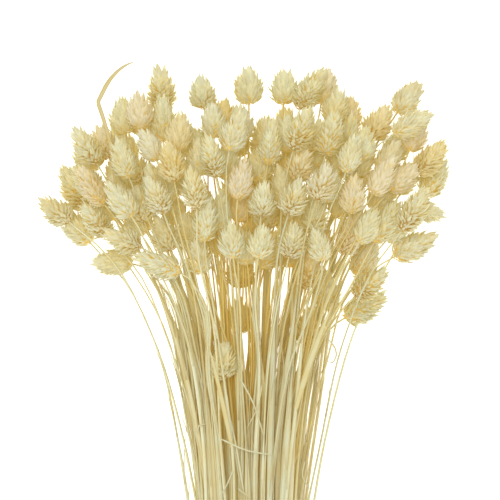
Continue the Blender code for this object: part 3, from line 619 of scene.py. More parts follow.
def inner_heads(rng, placed, count):
    """Fills the crown: each new head takes, of some random places, the one furthest from all the others."""
    points = [np.array([x, y, share * heap_height(x, y)]) for x, y, _, _, share in placed]
    heads = []
    for _ in range(count):
        best, best_gap = None, -1.0
        for _ in range(CROWN_TRIES):
            x, y, share = crown(rng)
            point = np.array([x, y, share * heap_height(x, y)])
            gap = np.min(np.linalg.norm((np.array(points) - point) * GAP_WEIGHTS, axis=1))
            if gap > best_gap:
                best, best_gap = (x, y, share, point), gap
        x, y, share, point = best
        points.append(point)
        lean = FAN * x + rng.normal(0.0, LEAN_STRAY)
        rise = RISE_START + RISE_SPAN * share * rng.uniform(*RISE_VARY)
        length = HEAD_LENGTH * rng.uniform(*LENGTH_VARY)
        heads.append((x, y, lean, length * math.cos(math.radians(rise)), share))
    return heads


def head_axis(lean, rise):
    """Unit vector of a head that leans from +Y towards +X and rises above the table, in degrees."""
    lean, rise = math.radians(lean), math.radians(rise)
    return np.array([math.sin(lean) * math.cos(rise), math.cos(lean) * math.cos(rise), math.sin(rise)])


def place_heads(rng):
    """Feet, axes, lengths, radii, turns and heap shares of all the heads."""
    rows = list(OUTLINE_HEADS)
    rows += inner_heads(rng, rows, STALK_COUNT - len(rows))
    feet, axes, lengths, radii, turns, shares = [], [], [], [], [], []
    for x, y, lean, seen, share in rows:
        length = max(seen, SHORTEST_HEAD)
        rise = math.degrees(math.acos(min(1.0, seen / length)))
        radius = HEAD_RADIUS * rng.uniform(*RADIUS_VARY)
        floor = radius + FLOOR_GAP
        z = floor + share * max(heap_height(x, y) - 2.0 * floor, 0.0)
        axis = head_axis(lean, rise)
        feet.append([x, y, max(z - 0.5 * length * axis[2], floor)])
        axes.append(axis)
        lengths.append(length)
        radii.append(radius)
        turns.append(rng.uniform(0.0, 2.0 * math.pi))
        shares.append(share)
    return tuple(np.array(v) for v in (feet, axes, lengths, radii, turns, shares))


def frame_of(axis):
    """The level unit vector at right angles to an axis, and the one that points up from it."""
    side = np.cross(axis, (0.0, 0.0, 1.0))
    side /= np.linalg.norm(side)
    return side, np.cross(side, axis)


def head_rings(axis, length, radius, turn):
    """The corners of a head's rings and its tip, measured from its foot; every other ring is half turned."""
    side, up = frame_of(axis)
    rings = []
    for k, (along, out) in enumerate(HEAD_RINGS):
        angles = turn + ((k % 2) * 0.5 + np.arange(HEAD_SIDES)) * (2.0 * math.pi / HEAD_SIDES)
        ways = np.cos(angles)[:, None] * side + np.sin(angles)[:, None] * up
        rings.append(along * length * axis + out * radius * ways)
    return np.array(rings), length * axis


def facet(k, i):
    """Ring and number of the corners of the facet of band k that points towards the head's tip."""
    step = (i + 1) % HEAD_SIDES
    return (k, i), (k, step), (k + 1, i if k % 2 == 0 else step)


def glume_tip(rings, k, i, axis, length, radius):
    """The point of the glume that stands on a facet: out from the head's axis and on towards its tip."""
    middle = np.mean([rings[ring][number] for ring, number in facet(k, i)], axis=0)
    outward = middle - np.dot(middle, axis) * axis
    return middle + GLUME_OUT * radius * outward / np.linalg.norm(outward) + GLUME_ON * length * axis


def head_floor(axis, length, radius, turn):
    """How high a head's foot stands when the head's lowest point just meets the table."""
    rings, tip = head_rings(axis, length, radius, turn)
    low = min(rings[..., 2].min(), tip[2])
    for k in range(len(rings) - 1):
        for i in range(HEAD_SIDES):
            low = min(low, glume_tip(rings, k, i, axis, length, radius)[2])
    return -low


def bundle_places(rng, feet, shares):
    """Where each stalk meets the bundle at the foot's top, as x and z in an oval lying on the table."""
    x = BUNDLE_PULL * feet[:, 0] + rng.normal(0.0, BUNDLE_STRAY, len(feet))
    x = np.clip(x, -BUNDLE_HALF_WIDTH, BUNDLE_HALF_WIDTH)
    across = x / (BUNDLE_ROUND * BUNDLE_HALF_WIDTH)
    room = BUNDLE_HEIGHT * np.sqrt(np.clip(1.0 - across**2, LEAST_ROUND, 1.0))
    z = np.clip(shares + rng.normal(0.0, HEIGHT_STRAY, len(feet)), *HEIGHT_SPAN) * room
    return np.stack([x, z], axis=1)


def sheaves_of(places):
    """Groups the stalks in threes: the leftmost stalk left, with the two nearest to it."""
    left = list(np.argsort(places[:, 0], kind="stable"))
    groups = []
    while left:
        first = left.pop(0)
        left.sort(key=lambda j: float(np.hypot(*((places[j] - places[first]) * MATE_WEIGHTS))))
        groups.append([first] + [left.pop(0) for _ in range(STALKS_PER_SHEAF - 1)])
        left.sort(key=lambda j: float(places[j, 0]))
    return groups


def pack_feet(places, groups):
    """Lets the sheaves' feet sink, pushing them apart until no two touch; the lowest lie on the table."""
    centres = np.array([places[g].mean(axis=0) for g in groups])
    need = 2.0 * FOOT_RADIUS + FOOT_GAP
    for step in range(PACK_STEPS):
        if step < SINK_STEPS:
            centres[:, 1] -= SINK_STEP
            centres[:, 0] *= DRAW_IN
        gap = centres[:, None] - centres[None]
        distance = np.linalg.norm(gap, axis=2) + np.eye(len(centres))
        push = np.clip(need - distance, 0.0, None) * (1.0 - np.eye(len(centres)))
        centres += PACK_PUSH * (gap / distance[..., None] * push[..., None]).sum(axis=1)
        centres[:, 1] = np.maximum(centres[:, 1], 0.5 * FOOT_RADIUS)
    return centres


def lobe_order(bundle, feet, group, centre):
    """The sheaf's stalks in turn round its middle, and the turn of the foot that faces them best."""
    aim = bundle[group] + AIM_SHARE * feet[group][:, ::2]
    around = aim - aim.mean(axis=0)
    angles = np.arctan2(around[:, 1], around[:, 0])
    order = np.argsort(angles, kind="stable")
    thirds = angles[order] - np.arange(STALKS_PER_SHEAF) * THIRD
    wanted = math.atan2(np.sin(thirds).mean(), np.cos(thirds).mean()) - FLAT_TURN
    whole = THIRD * round(wanted / THIRD)
    most = 0.0 if centre[1] < FOOT_RADIUS + FOOT_GAP else math.radians(FOOT_TURN)
    return [group[i] for i in order], FLAT_TURN + whole + float(np.clip(wanted - whole, -most, most))


def lobe_way(turn, lobe):
    """Unit vector, in x and z, from a foot's middle towards one of its three lobes."""
    return np.array([math.cos(turn + lobe * THIRD), math.sin(turn + lobe * THIRD)])


def stalk_widths(rng):
    """Half width and half thickness at each corner: a leaf sheath below, the thin bare stalk above."""
    broad = rng.uniform(0.0, 1.0, STALK_COUNT) < BROAD_SHARE
    half = np.where(broad, rng.uniform(*BROAD_SHEATH, STALK_COUNT), rng.uniform(*NARROW_SHEATH, STALK_COUNT))
    sheath_end = rng.uniform(*SHEATH_ENDS, STALK_COUNT)
    in_sheath = PATH_SHARES[None, :] < sheath_end[:, None]
    wide = np.where(in_sheath, half[:, None], STALK_RADIUS)
    thick = np.minimum(wide, SHEATH_THICKNESS)
    wide[:, 0], thick[:, 0] = FOOT_WIDE * FOOT_RADIUS, FOOT_THICK * FOOT_RADIUS
    return wide, thick


def first_paths(rng, feet, axes, bundle):
    """Corners of each stalk's path: bunched at first, then flaring out, and bent towards the head's axis."""
    run = feet[:, 1] - FOOT_TOP_Y
    vary = rng.uniform(*SPREAD_VARY, (len(feet), 1))
    paths = np.empty((len(feet), LAST + 1, 3))
    paths[..., 1] = FOOT_TOP_Y + run[:, None] * PATH_SHARES
    for axis, column, profile in ((0, 0, SPREAD), (2, 1, LIFT)):
        first = bundle[:, column, None]
        paths[..., axis] = first + (feet[:, axis, None] - first) * profile ** vary
    step = run * (PATH_SHARES[LAST] - PATH_SHARES[LAST - 1])
    slope = np.clip(axes[:, 0] / np.maximum(axes[:, 1], FORWARD), -STEEPEST, STEEPEST)
    bend = paths[:, LAST - 1]
    bend[:, 0] = (1.0 - BEND_IN) * bend[:, 0] + BEND_IN * (feet[:, 0] - slope * step)
    bend[:, 2] = np.maximum(bend[:, 2] - DIP * axes[:, 2] * step, LOWEST_BEND)
    wander = rng.normal(0.0, WANDER, (len(feet), LAST + 1))
    wander[:, [0, -1]] = 0.0
    wander[:, 1] *= FIRST_WANDER
    paths[..., 0] += wander
    return paths


def nearest_shares(start_a, along_a, start_b, along_b):
    """Where pairs of straight pieces come nearest to each other, as shares of each piece."""
    aa = (along_a * along_a).sum(axis=1)
    bb = (along_b * along_b).sum(axis=1)
    ab = (along_a * along_b).sum(axis=1)
    gap = start_a - start_b
    ga, gb = (gap * along_a).sum(axis=1), (gap * along_b).sum(axis=1)
    on_a = np.clip((ab * gb - ga * bb) / np.maximum(aa * bb - ab * ab, 1e-6), 0.0, 1.0)
    on_b = np.clip((ab * on_a + gb) / bb, 0.0, 1.0)
    on_a = np.clip((ab * on_b - ga) / aa, 0.0, 1.0)
    return on_a, on_b


class Heap:
    """The stalks and heads as straight pieces, pushed apart in X and Z until nothing touches."""

    def __init__(self, paths, axes, lengths, radii, turns, wide, thick, sheaves):
        self.paths, self.home = paths, paths.copy()
        self.axes, self.lengths, self.radii = axes, lengths, radii
        self.wide, self.thick, self.sheaves = wide, thick, sheaves
        self.head_offsets = axes[:, None, :] * (lengths[:, None] * HEAD_SPAN)[..., None]
        self.floor = np.array([head_floor(*head) for head in zip(axes, lengths, radii, turns)])
        self.sheaf = np.zeros(len(paths), dtype=int)
        self.mates = []
        for number, (ordered, turn, _) in enumerate(sheaves):
            self.sheaf[ordered] = number
            for lobe in range(STALKS_PER_SHEAF):
                other = (lobe + 1) % STALKS_PER_SHEAF
                way = lobe_way(turn, lobe) - lobe_way(turn, other)
                self.mates.append((ordered[lobe], ordered[other], way / np.linalg.norm(way)))
        self.owner = np.repeat(np.arange(len(paths)), LAST + 1)
        self.kind = np.tile(np.arange(LAST + 1), len(paths))
        most = np.concatenate([np.maximum(wide[:, :-1], wide[:, 1:]), radii[:, None]], axis=1)
        self.most = most.reshape(-1)

    def pieces(self):
        """Start and run of every straight piece: each stalk's lengths between corners, then its head."""
        heads = self.paths[:, -1:, :] + self.head_offsets
        start = np.concatenate([self.paths[:, :-1], heads[:, :1]], axis=1).reshape(-1, 3)
        stop = np.concatenate([self.paths[:, 1:], heads[:, 1:]], axis=1).reshape(-1, 3)
        return start, stop - start

    def half_sizes(self, piece, share):
        """Half width and half thickness of pieces at shares of their length."""
        owner, kind = self.owner[piece], self.kind[piece]
        first, second = np.minimum(kind, LAST - 1), np.minimum(kind + 1, LAST)
        wide = (1.0 - share) * self.wide[owner, first] + share * self.wide[owner, second]
        thick = (1.0 - share) * self.thick[owner, first] + share * self.thick[owner, second]
        head = self.radii[owner] * np.polynomial.polynomial.polyval(share, HEAD_SWELL)
        is_head = kind == LAST
        return np.where(is_head, head, wide), np.where(is_head, head, thick)

    def near_pairs(self, margin):
        """Pairs of pieces of different stalks whose boxes come within the margin, heads first."""
        start, run = self.pieces()
        reach = self.most[:, None]
        low = np.minimum(start, start + run) - reach
        high = np.maximum(start, start + run) + reach + margin
        meet = self.owner[:, None] < self.owner[None, :]
        for axis in range(3):
            meet &= low[:, None, axis] < high[None, :, axis]
            meet &= low[None, :, axis] < high[:, None, axis]
        a, b = np.nonzero(meet)
        late = (self.kind[b] == LAST) & (self.kind[a] != LAST)
        return np.where(late, b, a), np.where(late, a, b)

    def touches(self, pairs):
        """Every place where two pieces come too near: pieces, shares, direction and depth.

        Each pair is looked at where its pieces are nearest, and at two fixed shares of the first piece. Less
        room is asked for just above the feet, where the stalks of one foot start from one place.
        """
        start, run = self.pieces()
        a, b = pairs
        spots = [nearest_shares(start[a], run[a], start[b], run[b])]
        for fixed in LOOK_SHARES:
            point = start[a] + fixed * run[a] - start[b]
            other = np.clip((point * run[b]).sum(axis=1) / (run[b] ** 2).sum(axis=1), 0.0, 1.0)
            spots.append((np.full(len(a), fixed), other))
        a, b = np.tile(a, len(spots)), np.tile(b, len(spots))
        on_a, on_b = (np.concatenate(shares) for shares in zip(*spots))
        place = start[a] + on_a[:, None] * run[a]
        gap = place - start[b] - on_b[:, None] * run[b]
        distance = np.linalg.norm(gap, axis=1)
        close = distance < self.most[a] + self.most[b] + CLEARANCE
        a, b, on_a, on_b = a[close], b[close], on_a[close], on_b[close]
        place, gap, distance = place[close], gap[close], distance[close]
        above = self.home[self.owner[a], -1, 2] > self.home[self.owner[b], -1, 2]
        gap[:, 2] += np.where(above, TIE_BREAK, -TIE_BREAK)
        way = gap / np.linalg.norm(gap, axis=1)[:, None]
        upright = way[:, 2] ** 2
        need = np.full(len(a), CLEARANCE)
        for piece, share in ((a, on_a), (b, on_b)):
            wide, thick = self.half_sizes(piece, share)
            need += np.sqrt(wide**2 * (1.0 - upright) + thick**2 * upright)
        past_foot = np.clip((place[:, 1] - FOOT_TOP_Y) / FOOT_EASE, 0.0, 1.0)
        need *= FOOT_ROOM + (1.0 - FOOT_ROOM) * past_foot
        mates = self.sheaf[self.owner[a]] == self.sheaf[self.owner[b]]
        mates &= (self.kind[a] == 0) & (self.kind[b] == 0)
        deep = np.where(mates, 0.0, need - distance)
        hit = deep > 0.0
        return tuple(v[hit] for v in (a, b, on_a, on_b, way, deep))

    def part(self, pairs):
        """Moves the corners so that pieces that come too near part; a head yields less than a stalk."""
        a, b, on_a, on_b, way, deep = self.touches(pairs)
        level = np.maximum(way[:, 0] ** 2 + way[:, 2] ** 2, LEAST_LEVEL)
        push = way[:, ::2] * (deep / level)[:, None]
        a_head, b_head = self.kind[a] == LAST, self.kind[b] == LAST
        part_a = np.where(b_head & ~a_head, STALK_YIELD, 0.5)
        part_a = np.where(a_head & ~b_head, HEAD_YIELD, part_a)[:, None]
        size = self.paths.shape[0] * self.paths.shape[1]
        moved, count = np.zeros((size, 2)), np.zeros(size)
        for piece, share, move in ((a, on_a, push * part_a), (b, on_b, -push * (1.0 - part_a))):
            is_head = self.kind[piece] == LAST
            first = self.owner[piece] * (LAST + 1) + self.kind[piece]
            second = np.where(is_head, first, first + 1)
            near, far = np.where(is_head, 0.0, 1.0 - share), np.where(is_head, 1.0, share)
            scale = 1.0 / np.maximum(near**2 + far**2, LEAST_LEVER)
            for corner, weight in ((first, near), (second, far)):
                count += np.bincount(corner, weights=weight, minlength=size)
                for axis in range(2):
                    moved[:, axis] += np.bincount(
                        corner, weights=weight * scale * move[:, axis], minlength=size
                    )
        moved = (moved / np.maximum(count, 1.0)[:, None]).reshape(len(self.paths), LAST + 1, 2)
        self.paths[:, 1:, ::2] += OVERSHOOT * moved[:, 1:]

    def part_mates(self):
        """Keeps the three stalks of a foot apart at their first corners, each on its own lobe's side."""
        first = self.paths[:, 1, ::2]
        for a, b, way in self.mates:
            deep = self.wide[a, 1] + self.wide[b, 1] + MATE_GAP - np.dot(first[a] - first[b], way)
            if deep > 0.0:
                first[a] += 0.5 * deep * way
                first[b] -= 0.5 * deep * way

    def settle(self):
        """Pushes apart, lets the heap sink a little, and keeps each stalk smooth and near its place."""
        for step in range(SETTLE_STEPS):
            if step % PAIR_STEPS == 0:
                pairs = self.near_pairs(PAIR_MARGIN)
            loose = 1.0 - step / (LOOSE_SHARE * SETTLE_STEPS)
            if loose > 0.0:
                for axis, pull in ((0, PULL_HOME_X), (2, PULL_HOME_Z)):
                    self.paths[:, 1:, axis] += pull * loose * (self.home - self.paths)[:, 1:, axis]
                bend = 0.5 * (self.paths[:, :-2] + self.paths[:, 2:]) - self.paths[:, 1:-1]
                rest = 0.5 * (self.home[:, :-2] + self.home[:, 2:]) - self.home[:, 1:-1]
                self.paths[:, 1:-1, ::2] += STIFFNESS * loose * (bend - rest)[:, :, ::2]
                self.paths[:, -1, 2] -= HEAP_SINK * loose
            self.part(pairs)
            self.part_mates()
            self.paths[:, -1, 2] = np.maximum(self.paths[:, -1, 2], self.floor)
            self.paths[:, 1:-1, 2] = np.maximum(self.paths[:, 1:-1, 2], self.thick[:, 1:-1])


def grow():
    """The settled heap of all the stalks and heads, with the sheaves that they belong to."""
    rng = np.random.default_rng(SEED)
    feet, axes, lengths, radii, turns, shares = place_heads(rng)
    bundle = bundle_places(rng, feet, shares)
    groups = sheaves_of(bundle)
    sheaves = []
    for group, centre in zip(groups, pack_feet(bundle, groups)):
        ordered, turn = lobe_order(bundle, feet, group, centre)
        for lobe, j in enumerate(ordered):
            bundle[j] = centre + FOOT_RADIUS / 3.0 * lobe_way(turn, lobe)
        sheaves.append((ordered, turn, centre))
    wide, thick = stalk_widths(rng)
    paths = first_paths(rng, feet, axes, bundle)
    heap = Heap(paths, axes, lengths, radii, turns, wide, thick, sheaves)
    heap.settle()
    return heap


class Leaf:
    """A leaf blade: the stalk and corner that it grows from, its points, and its width."""

    def __init__(self, stalk, corner, points, width):
        self.stalk, self.corner = stalk, corner
        self.points, self.width = np.array(points, dtype=float), width

    def root(self, paths):
        """The middle of the short length of stalk that the blade grows from."""
        start = paths[self.stalk, self.corner]
        run = paths[self.stalk, self.corner + 1] - start
        return start + 0.5 * BLADE_ROOT * run / np.linalg.norm(run)

    def clears(self, heap, others):
        """Whether the blade keeps its gap to every stalk and head, and to the blades before it."""
        chain = np.concatenate([[self.root(heap.paths)], self.points])
        start, run = heap.pieces()
        every = np.arange(len(start))
        at_root = (heap.owner == self.stalk) & (np.abs(heap.kind - self.corner) < 2)
        for k in range(len(chain) - 1):
            along = chain[k + 1] - chain[k]
            for fixed in (None, 0.5, 1.0):
                far = every[~at_root] if k == 0 and fixed is None else every
                begin = chain[k] - start[far]
                if fixed is None:
                    runs = np.broadcast_to(along, (len(far), 3))
                    on_blade, on_piece = nearest_shares(chain[k] + 0.0 * runs, runs, start[far], run[far])
                else:
                    on_blade = np.full(len(far), fixed)
                    reach = ((begin + fixed * along) * run[far]).sum(axis=1)
                    on_piece = np.clip(reach / (run[far] ** 2).sum(axis=1), 0.0, 1.0)
                gap = begin + on_blade[:, None] * along - on_piece[:, None] * run[far]
                distance = np.linalg.norm(gap, axis=1)
                upright = (gap[:, 2] / np.maximum(distance, 0.01)) ** 2
                wide, thick = heap.half_sizes(far, on_piece)
                need = np.sqrt(wide**2 * (1.0 - upright) + thick**2 * upright) + BLADE_GAP
                need += 0.5 * np.sqrt(self.width**2 * (1.0 - upright) + BLADE_THICKNESS**2 * upright)
                if (distance < need).any():
                    return False
        for other in others:
            apart = np.linalg.norm(self.points[:, None] - other.points[None], axis=2)
            if apart.min() < 0.5 * (self.width + other.width) + BLADE_SPACING:
                return False
        return self.points[:, 2].min() > BLADE_LOWEST


def flag_leaf(heap):
    """The flag leaf, at the first height where it is clear of the heads round it."""
    start = heap.paths[FLAG_STALK, LAST - 1, 2]
    for lift in FLAG_LIFTS:
        points = [(x, y, start + lift - FLAG_DROOP * k) for k, (x, y) in enumerate(FLAG_LEAF)]
        leaf = Leaf(FLAG_STALK, LAST - 1, points, FLAG_WIDTH)
        if leaf.clears(heap, []):
            return [leaf]
    return []


def random_leaf(rng, heap):
    """A blade that leaves a stalk at a narrow angle and arches over its neighbours."""
    stalk, corner = int(rng.integers(STALK_COUNT)), int(rng.integers(2, 4))
    side = int(rng.choice((-1, 1)))
    turn = math.radians(rng.uniform(*BLADE_TURN)) * side
    step = rng.uniform(*BLADE_STEP)
    rise = rng.uniform(*BLADE_RISE)
    on = heap.paths[stalk, corner + 1] - heap.paths[stalk, corner]
    heading = math.atan2(on[0], on[1])
    point = heap.paths[stalk, corner] + 0.5 * BLADE_ROOT * on / np.linalg.norm(on)
    points = []
    for k in range(BLADE_POINTS):
        way = heading + turn * (1.0 + BLADE_CURL * k)
        point = point + step * np.array([math.sin(way), math.cos(way), rise - BLADE_DROOP * k])
        points.append(point)
    return Leaf(stalk, corner, points, rng.uniform(*BLADE_WIDTH))


def place_leaves(rng, heap):
    """The flag leaf, then blades at random places, each kept if it is clear and inside the bunch's sides."""
    leaves = flag_leaf(heap)
    for _ in range(BLADE_TRIES):
        if len(leaves) > BLADE_COUNT:
            break
        leaf = random_leaf(rng, heap)
        inside = (np.abs(leaf.points[:, 0]) < BLADE_SIDE + BLADE_FAN * leaf.points[:, 1]).all()
        if inside and leaf.clears(heap, leaves):
            leaves.append(leaf)
    return leaves


def vector_length(v):
    """Lengths of the vectors in the last axis, kept as an axis of one."""
    return np.linalg.norm(v, axis=-1, keepdims=True)


def frames_along(path):
    """Unit vectors along a path, level across it, and upwards from it: the differences of its points,
    their cross product with the vertical, and the cross product of the two."""
    along = np.gradient(path, axis=0)
    along /= vector_length(along)
    across = np.cross(along, (0.0, 0.0, 1.0))
    across /= vector_length(across)
    return along, across, np.cross(across, along)


def ways_round(sides, across, up):
    """Unit vectors round an axis, at even steps from the way across, given that way and the way up."""
    angles = np.arange(sides) * (2.0 * math.pi / sides)
    return np.cos(angles)[:, None] * across[..., None, :] + np.sin(angles)[:, None] * up[..., None, :]


def smooth_path(corners, count):
    """Points along a smooth curve through corners: between two of them a cubic whose slopes at each
    corner are the mean of the slopes beside it, weighted by how near they are."""
    corners = np.asarray(corners)
    steps = vector_length(np.diff(corners, axis=0))
    place = np.concatenate([[0.0], np.cumsum(steps)])
    slopes = np.diff(corners, axis=0) / steps
    middle = (slopes[:-1] * steps[1:] + slopes[1:] * steps[:-1]) / (steps[:-1] + steps[1:])
    tangents = np.concatenate([slopes[:1], middle, slopes[-1:]])
    at = np.linspace(0.0, place[-1], count)
    k = np.clip(np.searchsorted(place, at, side="right") - 1, 0, len(steps) - 1)
    h = steps[k]
    u = (at[:, None] - place[k][:, None]) / h
    return (
        (2.0 * u**3 - 3.0 * u**2 + 1.0) * corners[k]
        + (u**3 - 2.0 * u**2 + u) * h * tangents[k]
        + (3.0 * u**2 - 2.0 * u**3) * corners[k + 1]
        + (u**3 - u**2) * h * tangents[k + 1]
    )


def grid_quads(rows, columns):
    """Corner numbers of the quads of a grid of points that is closed round its columns."""
    i, j = np.meshgrid(np.arange(rows - 1), np.arange(columns), indexing="ij")
    k = (j + 1) % columns
    row, following = i * columns, (i + 1) * columns
    return np.stack([row + j, row + k, following + k, following + j], axis=-1).reshape(-1, 4)


def add_object(name, data, place=(0.0, 0.0, 0.0)):
    """A new object in the scene, at a place."""
    made = bpy.data.objects.new(name, data)
    made.location = place
    bpy.context.collection.objects.link(made)
    return made


class Piece:
    """A mesh in the making: blocks of points with their faces, finish and painted values."""

    def __init__(self):
        self.points, self.faces, self.finish = [], [], []
        self.paint = {name: [] for name in PAINTS}
        self.count = 0

    def add(self, points, faces, finish, **paint):
        """Adds points, faces that number them from 0, a finish, and one value or an array of each paint."""
        points = points.reshape(-1, 3)
        self.points.append(points)
        for block in faces:
            self.faces.extend((block + self.count).tolist())
            self.finish.extend([finish] * len(block))
        for name, values in self.paint.items():
            values.append(np.zeros(len(points)) + paint.get(name, 0.0))
        self.count += len(points)

    def make(self, name, materials):
        """Makes the object, in metres, moved so that the bunch is centred, and held inside the plain
        model's box. Edges that join two points painted as a rim, which is the far end of the way across,
        are sharp, so thin scales keep crisp sides."""
        mesh = bpy.data.meshes.new(name)
        points = (np.concatenate(self.points) - (CENTRE[0], CENTRE[1], 0.0)) * MM
        points = np.clip(points, *cad_box)
        mesh.from_pydata(points.tolist(), [], self.faces)
        mesh.polygons.foreach_set("material_index", self.finish)
        mesh.polygons.foreach_set("use_smooth", [True] * len(self.faces))
        for label, values in self.paint.items():
            layer = mesh.attributes.new(label, "FLOAT", "POINT")
            layer.data.foreach_set("value", np.concatenate(values).astype(np.float32))
        for material in materials:
            mesh.materials.append(material)
        rim = np.abs(np.concatenate(self.paint["across"])) > RIM
        ends = np.empty(2 * len(mesh.edges), dtype=np.int32)
        mesh.edges.foreach_get("vertices", ends)
        sharp = mesh.attributes.new("sharp_edge", "BOOLEAN", "EDGE")
        sharp.data.foreach_set("value", rim[ends].reshape(-1, 2).all(axis=1))
        mesh.validate()
        return add_object(name, mesh)


def straw(piece, path, radii, gold, paint):
    """A round hollow straw: rings of points at a radius round a path. The ring at the cut end turns
    inwards and runs back down the bore, and the far end closes."""
    along, across, up = frames_along(path)
    ways = ways_round(STRAW_SIDES, across, up)
    rings = path[:, None] + radii[:, None, None] * ways
    bore = path[0] + BORE_DEPTHS[:, None] * along[0]
    inner = bore[:, None] + (BORE_RADII * radii[0])[:, None, None] * ways[0][None]
    tip = path[-1:, None] + CLOSED_RADIUS * ways[-1:]
    rings = np.concatenate([inner, rings, tip])
    share = np.concatenate([np.zeros(len(bore)), np.linspace(0.0, 1.0, len(path)), [1.0]])
    gold = np.concatenate([np.full(len(bore), gold[0]), gold, gold[-1:]])
    piece.add(
        rings,
        [grid_quads(len(rings), STRAW_SIDES)],
        STRAW,
        along=np.repeat(share, STRAW_SIDES),
        across=np.tile(ROUND_ACROSS * np.abs(np.linspace(-1.0, 1.0, STRAW_SIDES)), len(rings)),
        gold=np.repeat(gold, STRAW_SIDES),
        **paint,
    )


def band(piece, path, outer, inner, roll, gold, paint):
    """A long papery band with a skin of its own: at each point of a path an outer row of points and an
    inner one, given as distances across and up and turned by a roll, joined into a closed ring, with a
    flat end at each end."""
    _, across, up = frames_along(path)
    turn_across = math.cos(roll) * across + math.sin(roll) * up
    turn_up = math.cos(roll) * up - math.sin(roll) * across
    ring = np.concatenate([outer, inner[:, ::-1]], axis=1)
    points = path[:, None] + ring[..., :1] * turn_across[:, None] + ring[..., 1:] * turn_up[:, None]
    rows, columns = ring.shape[:2]
    half = columns // 2
    k = np.arange(half - 1)
    cap = np.stack([k, columns - 1 - k, columns - 2 - k, k + 1], axis=-1)
    far = cap[:, ::-1] + (rows - 1) * columns
    side = np.concatenate([np.linspace(-1.0, 1.0, half), np.linspace(1.0, -1.0, half)])
    piece.add(
        points,
        [grid_quads(rows, columns), cap, far],
        PAPER,
        along=np.repeat(np.linspace(0.0, 1.0, rows), columns),
        across=np.tile(side, rows),
        gold=np.repeat(np.broadcast_to(gold, rows), columns),
        **paint,
    )


def sheath(piece, rng, path, widths, height, gold, paint):
    """An open leaf sheath: an arc of an ellipse round the straw with a rib at every other point, as wide
    as given, that narrows to a point over its last part."""
    share = np.linspace(0.0, 1.0, len(path))
    reach = math.radians(rng.uniform(*(BROAD_REACH if widths.mean() > BROAD_FROM else NARROW_REACH)))
    closing = np.clip((1.0 - share) / CLOSING_SHARE, CLOSING_LEAST, 1.0)[:, None] ** CLOSING_BEND
    angles = reach * np.linspace(-1.0, 1.0, SHEATH_POINTS) * (LEFT_REACH + (1.0 - LEFT_REACH) * closing)
    wave = 1.0 + WAVE_SIZE * np.sin(2.0 * math.pi * (share * rng.uniform(*WAVE_COUNT) + rng.uniform()))
    a = (widths * wave)[:, None] * (LEFT_WIDTH + (1.0 - LEFT_WIDTH) * closing)
    rib = SHEATH_RIB * (np.arange(SHEATH_POINTS) % 2)
    b = height * (LEFT_HEIGHT + (1.0 - LEFT_HEIGHT) * closing) - rib
    outer = np.stack([a * np.sin(angles), b * np.cos(angles)], axis=-1)
    inner = np.stack([(a - SHEATH_SKIN) * np.sin(angles), (b - SHEATH_SKIN) * np.cos(angles)], axis=-1)
    roll = math.radians(rng.uniform(-SHEATH_ROLL, SHEATH_ROLL))
    band(piece, path, outer, inner, roll, gold, paint)


def blade(piece, path, widths, fold, gold, paint, roll=0.0, points=STRIP_POINTS):
    """A leaf blade or strip: points across that rise to both sides of a midrib, as wide as given at each
    point of its path, over the same row a skin lower."""
    x = 0.5 * widths[:, None] * np.linspace(-1.0, 1.0, points)
    y = fold * np.abs(x)
    outer = np.stack([x, y + 0.5 * SHEATH_SKIN], axis=-1)
    inner = np.stack([x * INNER_WIDTH, y - 0.5 * SHEATH_SKIN], axis=-1)
    band(piece, path, outer, inner, roll, gold, paint)


